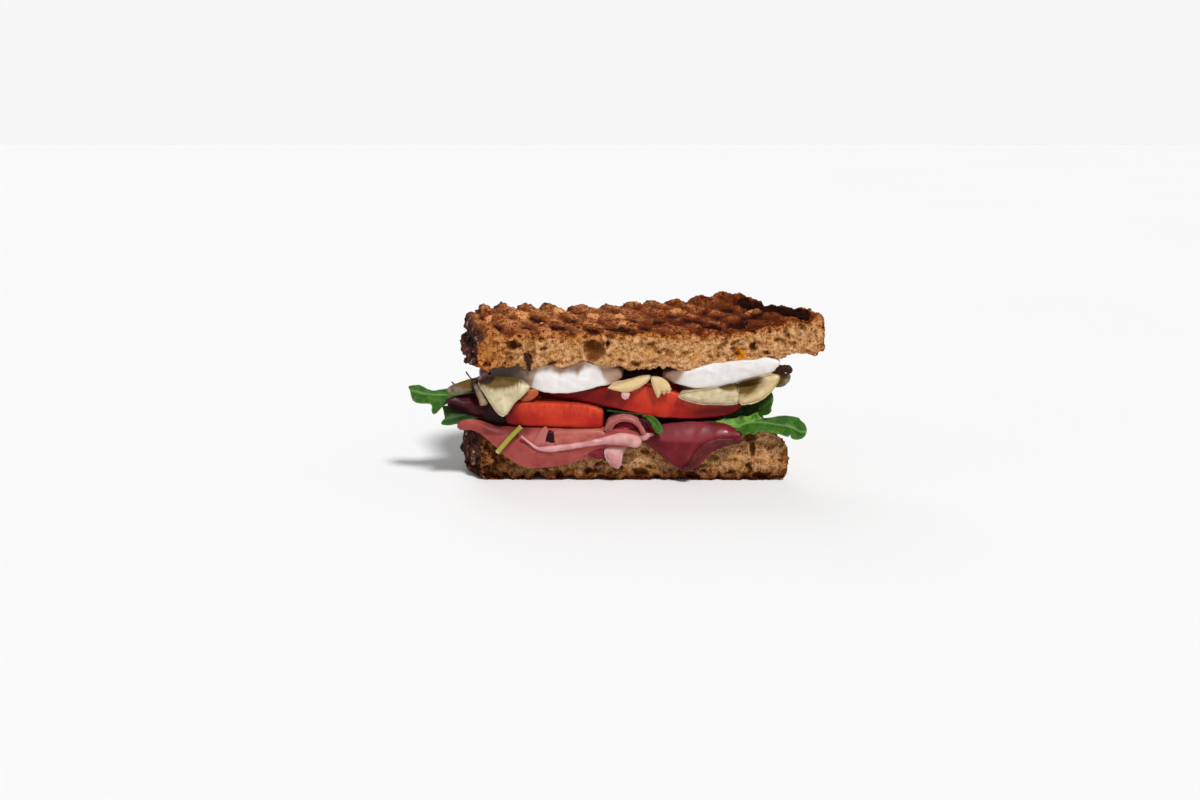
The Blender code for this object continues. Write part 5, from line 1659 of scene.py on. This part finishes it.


# salad leaves

# a leaf's darkening towards its right end, and a brightness below nought, are painted shade; a brightness
# above nought is the paler green of a fresh inner leaf
blades = {
    "leafLeft": {
        "node": "leaf_left", "lean": 42, "wave": 0.5, "paintedShade": (-58.0, -49.0, 0.9),
        "rib": (
            (-71.2, 2.2, 31.8), (-66.0, 3.0, 30.4), (-60.0, 4.6, 29.6), (-54.0, 6.6, 29.6),
            (-47.0, 8.0, 28.8),
        ),
        "outline": (
            (-71.8, 33.2), (-70.1, 33.4), (-68.1, 33.4), (-66.0, 32.4), (-64.5, 31.7), (-63.1, 31.2),
            (-60.4, 31.4), (-57.7, 31.7), (-54.0, 31.8), (-48.0, 31.0), (-46.6, 29.0), (-49.0, 27.4),
            (-54.9, 27.3), (-57.3, 27.5), (-58.6, 26.7), (-59.7, 26.0), (-60.5, 25.2), (-61.3, 24.5),
            (-62.1, 24.3), (-62.8, 24.8), (-63.1, 25.8), (-62.8, 26.5), (-63.4, 27.4), (-65.8, 27.6),
            (-68.5, 28.0), (-69.6, 28.7), (-70.2, 29.7), (-70.9, 31.7),
        ),
    },
    "leafLeftLow": {
        "node": "leaf_left_low", "lean": 40, "wave": 0.4, "freshAndPaintedShade": -0.4, "paintedShade": (-60.0, -50.0, 0.6),
        "rib": ((-60.0, -1.5, 21.8), (-54.0, -0.5, 22.8), (-48.0, 1.5, 23.6), (-42.0, 4.0, 23.6)),
        "outline": (
            (-59.8, 25.8), (-59.1, 26.2), (-56.3, 26.2), (-52.7, 25.8), (-49.2, 25.4), (-44.4, 25.0),
            (-42.0, 24.0), (-44.5, 22.6), (-48.2, 22.0), (-50.6, 21.6), (-53.7, 21.0), (-56.4, 20.6),
            (-58.2, 20.5), (-59.7, 20.8), (-59.5, 21.7), (-58.4, 22.4), (-59.1, 24.2),
        ),
    },
    "leafRight": {
        "node": "leaf_right", "lean": 38, "wave": 0.35,
        "rib": (
            (31.0, 2.0, 22.0), (39.2, 0.2, 20.9), (45.4, -1.0, 20.8), (52.1, -1.6, 21.2),
            (58.5, -2.2, 20.5), (62.9, -2.7, 19.8), (66.5, -3.4, 18.2),
        ),
        "outline": (
            (33.0, 21.6), (37.8, 21.2), (41.3, 21.5), (44.2, 22.0), (46.3, 22.8), (49.2, 23.1),
            (51.6, 22.5), (54.0, 22.6), (56.2, 22.7), (59.4, 23.2), (62.4, 23.3), (64.7, 22.8),
            (66.5, 22.4), (67.0, 21.6), (68.5, 20.6), (69.0, 18.8), (68.3, 17.4), (67.0, 16.5),
            (65.0, 16.3), (63.4, 16.6), (62.8, 17.1), (62.7, 18.0), (62.1, 17.2), (61.0, 17.4),
            (59.1, 18.0), (56.4, 18.4), (54.0, 18.7), (51.5, 18.7), (50.2, 17.9), (48.3, 18.2),
            (46.6, 17.6), (45.2, 18.6), (43.2, 19.1), (41.2, 20.0), (39.1, 20.5), (33.0, 20.6),
        ),
    },
    "leafRightUpper": {
        "node": "leaf_right_upper", "lean": 55, "wave": 0.3, "freshAndPaintedShade": -0.4,
        "rib": ((49.8, 5.0, 23.6), (52.0, 2.0, 25.0), (54.8, -0.6, 27.4), (57.4, -2.0, 30.4)),
        "outline": (
            (47.7, 25.0), (50.2, 25.6), (52.1, 26.7), (53.7, 28.2), (55.2, 29.3), (57.0, 30.5),
            (57.0, 29.6), (56.6, 28.2), (56.1, 26.8), (56.3, 26.0), (55.4, 24.6), (53.8, 23.8),
            (51.6, 23.4), (49.4, 22.8), (47.7, 23.4),
        ),
    },
    "leafInner": {
        "lean": 50, "wave": 1.3, "freshAndPaintedShade": 1.0,
        "rib": ((34.0, -1.4, 21.0), (41.0, -1.8, 20.6), (48.0, -1.6, 20.8), (55.0, -0.6, 22.4)),
        "outline": (
            (35.7, 21.6), (40.3, 22.4), (44.0, 22.6), (45.6, 23.6), (48.4, 23.4), (51.5, 24.9),
            (53.6, 23.6), (54.0, 22.0), (51.7, 20.4), (49.2, 18.4), (47.6, 19.2), (46.0, 18.0),
            (44.0, 19.6), (42.1, 19.4), (39.0, 20.6),
        ),
    },
    # a leaf painted in deep shade, in the dark gap behind the right leaves
    "leafDark": {
        "lean": 64, "wave": 0.8, "freshAndPaintedShade": -1.0,
        "rib": ((40.0, 3.6, 25.0), (46.0, 3.4, 26.0), (52.0, 3.0, 27.0), (57.0, 2.6, 28.6)),
        "outline": (
            (38.0, 22.6), (40.0, 26.6), (44.0, 29.4), (49.0, 30.0), (53.0, 30.2), (56.9, 31.4),
            (57.6, 29.2), (55.8, 25.6), (52.8, 23.4), (49.3, 22.0), (44.0, 21.6),
        ),
    },
    "leafMiddle": {
        "node": "leaf_middle", "lean": 62, "wave": 0.2,
        "rib": ((10.4, -3.4, 23.6), (13.4, -4.8, 23.2), (16.2, -6.8, 21.2), (18.4, -8.0, 18.6)),
        "outline": (
            (10.2, 24.1), (12.0, 24.4), (13.7, 24.5), (15.4, 24.0), (16.8, 22.8), (17.9, 21.1),
            (18.4, 19.8), (18.0, 18.9), (17.0, 18.6), (15.7, 19.1), (14.9, 20.2), (14.2, 21.4),
            (13.4, 22.6), (12.3, 23.5),
        ),
    },
}

# a brightness below nought is painted shade
flatLeaves = {
    "leafUnder": {
        "node": "leaf_under", "freshAndPaintedShade": -0.95, "lean": 0, "wave": 0.0, "size": (23, 4), "counts": (60, 16),
        "rib": ((-1.4, -0.8, 25.4), (5.0, -0.9, 24.7), (11.0, -0.4, 23.9), (20.0, 2.0, 22.3)),
        "upper": ((0, 0.8), (0.5, 3.4), (1, 1.0)), "lower": ((0, 0.2), (0.5, 0.5), (1, 0.3)),
    },
    "leafBackRight": {
        "node": "leaf_back_right", "freshAndPaintedShade": -0.3, "lean": 16, "wave": 0.5, "size": (21, 7),
        "counts": (110, 36),
        "rib": ((31.0, 36.0, 26.6), (37.0, 41.0, 26.8), (43.0, 44.5, 26.2), (49.0, 46.0, 24.6)),
        "upper": ((0, 1.4), (0.3, 3.4), (0.45, 1.8), (0.66, 4.2), (0.8, 2.2), (0.92, 3.0), (1, 0.5)),
        "lower": ((0, 1.4), (0.3, 3.0), (0.45, 1.6), (0.66, 3.8), (0.8, 2.0), (0.92, 2.6), (1, 0.5)),
    },
    "leafBackLeft": {
        "node": "leaf_back_left", "freshAndPaintedShade": -0.3, "lean": 14, "wave": 0.5, "size": (30, 9),
        "counts": (130, 40),
        "rib": ((-30.0, 26.0, 29.0), (-38.0, 32.0, 29.0), (-46.0, 37.0, 28.0), (-55.0, 41.0, 25.6)),
        "upper": ((0, 1.6), (0.3, 4.0), (0.42, 2.2), (0.6, 5.2), (0.72, 2.6), (0.85, 4.2), (1, 0.6)),
        "lower": ((0, 1.6), (0.3, 3.6), (0.42, 2.0), (0.6, 4.8), (0.72, 2.4), (0.85, 3.8), (1, 0.6)),
    },
}

leafSheet = {"thickness": 0.42, "spacing": 0.38, "waves": ()}
leafTones = {
    "blade": screen(56, 98, 28), "deep": screen(34, 74, 16), "light": screen(88, 128, 44),
    "vein": screen(112, 150, 66), "rim": screen(96, 130, 50), "fresh": screen(122, 164, 62),
    # the dark green a leaf is painted where it lies in shade
    "paintedShade": screen(20, 40, 12),
}


def pointsInside(x, z, border):  # which points lie inside a closed outline
    inside = np.zeros(len(x), bool)
    for (ax, az), (bx, bz) in zip(border, np.roll(border, -1, axis=0)):
        crossing = (az > z) != (bz > z)
        at = ax + (z - az) * (bx - ax) / (bz - az if bz != az else 1e-9)
        inside ^= crossing & (x < at)
    return inside


def filledOutline(outline, spacing):  # even points on and inside a closed outline, and their triangles
    closed = np.vstack((outline, outline[:1]))
    lengths = lengthsAlong(closed)
    at = np.linspace(0, lengths[-1], int(lengths[-1] / spacing), endpoint=False)
    border = np.stack([np.interp(at, lengths, closed[:, k]) for k in range(2)], axis=1)
    low, high = border.min(axis=0), border.max(axis=0)
    x, z = np.meshgrid(np.arange(low[0], high[0], spacing), np.arange(low[1], high[1], spacing))
    x, z = x.ravel(), z.ravel()
    x = x + 0.08 * ripple(x, z, 0, 0.5)
    inside = pointsInside(x, z, border) & (outlineDistance(x, z, border) > 0.12)
    flat = np.vstack((border, np.column_stack((x[inside], z[inside]))))
    given = [Vector(place) for place in flat.tolist()]
    found = delaunay_2d_cdt(given, [], [list(range(len(border)))], 1, 1e-6)
    return np.array([place[:] for place in found[0]]), np.array([list(face) for face in found[2]]), border


def bentBlade(piece, x, z):  # places on a leaning, wavy surface, and how far each lies from the rib
    rib = piece["rib"]
    ribX = [place[0] for place in rib]
    ribY = curveThrough(list(zip(ribX, (place[1] for place in rib))), x)
    ribZ = curveThrough(list(zip(ribX, (place[2] for place in rib))), x)
    away = z - ribZ
    wave = piece["wave"] * (ripple(x, z, 2, 3.4) + 0.6 * ripple(x, z, 7, 1.5))
    wave = wave * np.minimum(np.abs(away), 3) / 1.5
    slope = 1 / math.tan(math.radians(piece["lean"]))
    y = ribY + slope * away + wave + 0.5 * np.exp(-((away / 0.5) ** 2))
    return np.column_stack((x, y, z)), away


def makeBlade(name, piece, material):  # an outline seen from the front, on a leaning wavy surface
    flat, triangles, border = filledOutline(cornersCut(piece["outline"], 2), leafSheet["spacing"])
    x, z = flat.T
    edge = outlineDistance(x, z, border)
    between, away = bentBlade(piece, x, z)
    aside, above = bentBlade(piece, x + 0.02, z)[0], bentBlade(piece, x, z + 0.02)[0]
    normal = np.cross(aside - between, above - between)
    normal /= np.linalg.norm(normal, axis=1)[:, None]
    half = leafSheet["thickness"] / 2
    rounding = np.sqrt(1 - (1 - np.clip(edge / half, 0, 1)) ** 2)
    ridge = 0.3 * np.exp(-((away / 0.35) ** 2))
    offset = normal * (half * rounding * (1 + ridge))[:, None]
    isBorder = edge < 1e-4
    down = np.arange(len(flat))
    down[~isBorder] = len(flat) + np.arange((~isBorder).sum())
    points = np.vstack((between + offset, (between - offset)[~isBorder]))
    faces = triangles.tolist() + down[triangles][:, ::-1].tolist()
    attributes = {
        key: np.concatenate((values, values[~isBorder]))
        for key, values in (("along", x), ("across", away), ("edge", edge))
    }
    # painted shade: darker towards the leaf's right end, where it goes under the fillings; a brightness below
    # nought is painted shade too
    start, end, amount = piece.get("paintedShade", (0.0, 1.0, 0.0))
    paintedShade = amount * smoothStep((points[:, 0] - start) / (end - start))
    attributes["freshAndPaintedShade"] = piece.get("freshAndPaintedShade", 0.0) - paintedShade
    dress(makeObject(name, points, faces, material, attributes), piece.get("node"))


def flatLeafShape(piece):
    steps, lean = list(range(len(piece["rib"]))), math.radians(piece["lean"])

    def shape(u, v):
        at = u * (len(steps) - 1)
        x, y, z = (curveThrough(list(zip(steps, (place[k] for place in piece["rib"]))), at) for k in range(3))
        side = 2 * v - 1
        width = np.where(side > 0, curveThrough(piece["upper"], u), curveThrough(piece["lower"], u))
        out = side * width
        lift = piece["wave"] * np.sin(7 * u + 2 * side) * np.abs(side) + 0.075 * np.abs(side) * width
        return np.stack((
            x - 0.12 * out, y + out * math.cos(lean) - lift * math.sin(lean),
            z + out * math.sin(lean) + lift * math.cos(lean),
        ), axis=-1)
    return shape


def leafMaterial():
    settings = {
        "IOR": 1.42, "Specular IOR Level": 0.22, "Subsurface Weight": 0.12, "Subsurface Scale": 0.001,
        "Subsurface Radius": (0.4, 1.0, 0.2),
    }
    material, tree, place = startMaterial("salad leaf", settings)
    soft, fine = grain(place, 0.35, 3.0), grain(place, 1.6, 3.0)
    freshAndPaintedShade, away = attribute(tree, "freshAndPaintedShade"), calc("ABSOLUTE", attribute(tree, "across"))
    slanted = 2.5 * soft + (0.8 * away + attribute(tree, "along"))
    stripe = calc("ABSOLUTE", calc("SINE", 0.9 * slanted))
    vein = calc("MAXIMUM", 0.14 * fade(stripe, 0.3, 0.04), 0.5 * fade(away, 0.45, 0.1))
    colour = mixColour(fade(soft, 0.35, 0.65), leafTones["blade"], leafTones["deep"])
    colour = mixColour(fade(fine, 0.5, 0.75, 0.0, 0.35), colour, leafTones["light"])
    fresh = 0.7 * (fade(freshAndPaintedShade, 0.0, 1.0) * fade(soft, 0.3, 0.6))
    colour = mixColour(fresh, colour, leafTones["fresh"])
    colour = mixColour(vein, colour, leafTones["vein"])
    colour = mixColour(0.5 * fade(attribute(tree, "edge"), 0.4, 0.05), colour, leafTones["rim"])
    # a brightness below nought paints the leaf darker, as shade
    colour = mixColour(fade(freshAndPaintedShade, 0.0, -1.0, 0.0, 0.85), colour, leafTones["paintedShade"])
    return finishMaterial(material, colour, fade(soft, 0.3, 0.7, 0.38, 0.55), fine - vein, 0.35, 0.0003)


def valuesOf(obj, key):
    values = np.zeros(len(obj.data.vertices), np.float32)
    obj.data.attributes[key].data.foreach_get("value", values)
    return values


leafLook = leafMaterial()
for name, piece in blades.items():
    makeBlade(name, piece, leafLook)
for name, piece in flatLeaves.items():
    obj = sheet(name, {**leafSheet, **piece}, flatLeafShape(piece), leafLook)
    storePoints(obj, "across", valuesOf(obj, "sheetV") - piece["size"][1] / 2)
    storePoints(obj, "along", valuesOf(obj, "sheetU"))
    storePoints(obj, "freshAndPaintedShade", piece["freshAndPaintedShade"])
    dress(obj, piece["node"])
print("leaves made")


# stalk

stalk = {
    "node": "leaf_stalk", "path": ((-31.3, -7.0, 20.9), (-35.0, -7.4, 17.2), (-39.7, -6.4, 11.6)),
    "widths": ((0, 0.86, 0.86), (1, 0.86, 0.86)), "length": 12.0,
    "upper": screen(142, 140, 40), "lower": screen(158, 152, 58), "streak": screen(118, 118, 30),
    "end": screen(190, 184, 128),
}


def stalkMaterial():
    settings = {"IOR": 1.42, "Subsurface Weight": 0.2, "Subsurface Scale": 0.001}
    material, tree, place = startMaterial("leaf stalk", settings)
    along = attribute(tree, "along")
    soft = grain(place, 0.9, 3.0)
    colour = mixColour(fade(along, 1.0, 9.0), stalk["upper"], stalk["lower"])
    colour = mixColour(fade(soft, 0.5, 0.7, 0.0, 0.4), colour, stalk["streak"])
    farEnd = fade(along, stalk["length"] - 0.4, stalk["length"] + 0.4)
    colour = mixColour(calc("MAXIMUM", fade(along, 0.35, 0.0), farEnd), colour, stalk["end"])
    return finishMaterial(material, colour, 0.4, soft, 0.3, 0.0002)


obj = tube("leafStalk", stalk["path"], stalk["widths"], stalkMaterial(), 24, 60, True)
x, y, z = placesOf(obj).T
pushPoints(obj, 0.05 * ripple(x, y, z, 1.5))
dress(obj, stalk["node"])
print("stalk made")


# floor, light and camera

studio = {
    "floorHalf": 3.0, "floorTone": 0.84, "overhead": 0.2, "horizon": 0.93,  # the floor in metres
    "key": {"turn": 24.0, "height": 50.0, "strength": 3.1, "spread": 12.0},
    "back": {"turn": 200.0, "height": 38.0, "strength": 0.7, "spread": 40.0},
    "camera": {
        "place": (0.0, -530.0, 138.5), "tilt": 90 - 11.67, "turn": 0.41,
        "focalPixels": 1539, "photoPixels": 1200, "sensor": 36.0,
    },
}


def sunLight(name, settings):  # turn 0 shines from the cut's side, 90 from the right
    light = bpy.data.lights.new(name, "SUN")
    light.energy = settings["strength"]
    light.angle = math.radians(settings["spread"])
    lamp = bpy.data.objects.new(name, light)
    lamp.rotation_euler = (math.radians(90 - settings["height"]), 0.0, math.radians(settings["turn"]))
    bpy.context.scene.collection.objects.link(lamp)


def makeFloor():
    material, tree, place = startMaterial("pale floor", {"Roughness": 0.9, "Specular IOR Level": 0.1})
    finishMaterial(material, 0.02 * grain(place, 0.004) + studio["floorTone"], 0.9)
    half = studio["floorHalf"] / mm
    corners = [(-half, -half, 0), (half, -half, 0), (half, half, 0), (-half, half, 0)]
    makeObject("studioFloor", corners, [(0, 1, 2, 3)], material)


def makeSky():  # bright at the horizon, dim overhead
    world = bpy.data.worlds.new("studio")
    world.use_nodes = True
    tree = world.node_tree
    height = split(addNode(tree, "ShaderNodeTexCoord")["Generated"])["Z"]
    inputs = tree.nodes["Background"].inputs
    feed(tree, inputs["Strength"], fade(height, 0.08, 0.35, studio["horizon"], studio["overhead"]))
    inputs["Color"].default_value = (1.0, 1.0, 1.0, 1.0)
    bpy.context.scene.world = world


def makeCamera(settings):
    data = bpy.data.cameras.new("photoView")
    data.sensor_width = settings["sensor"]
    data.lens = settings["focalPixels"] / settings["photoPixels"] * settings["sensor"]
    data.clip_start = 0.01
    camera = bpy.data.objects.new("photoView", data)
    camera.location = Vector((np.array(settings["place"]) - middle) * mm)
    camera.rotation_euler = (math.radians(settings["tilt"]), 0.0, math.radians(settings["turn"]))
    bpy.context.scene.collection.objects.link(camera)
    bpy.context.scene.camera = camera


makeFloor()
makeSky()
sunLight("keyLight", studio["key"])
sunLight("backLight", studio["back"])
makeCamera(studio["camera"])
bpy.context.scene.view_settings.view_transform = "Standard"
print("studio made")
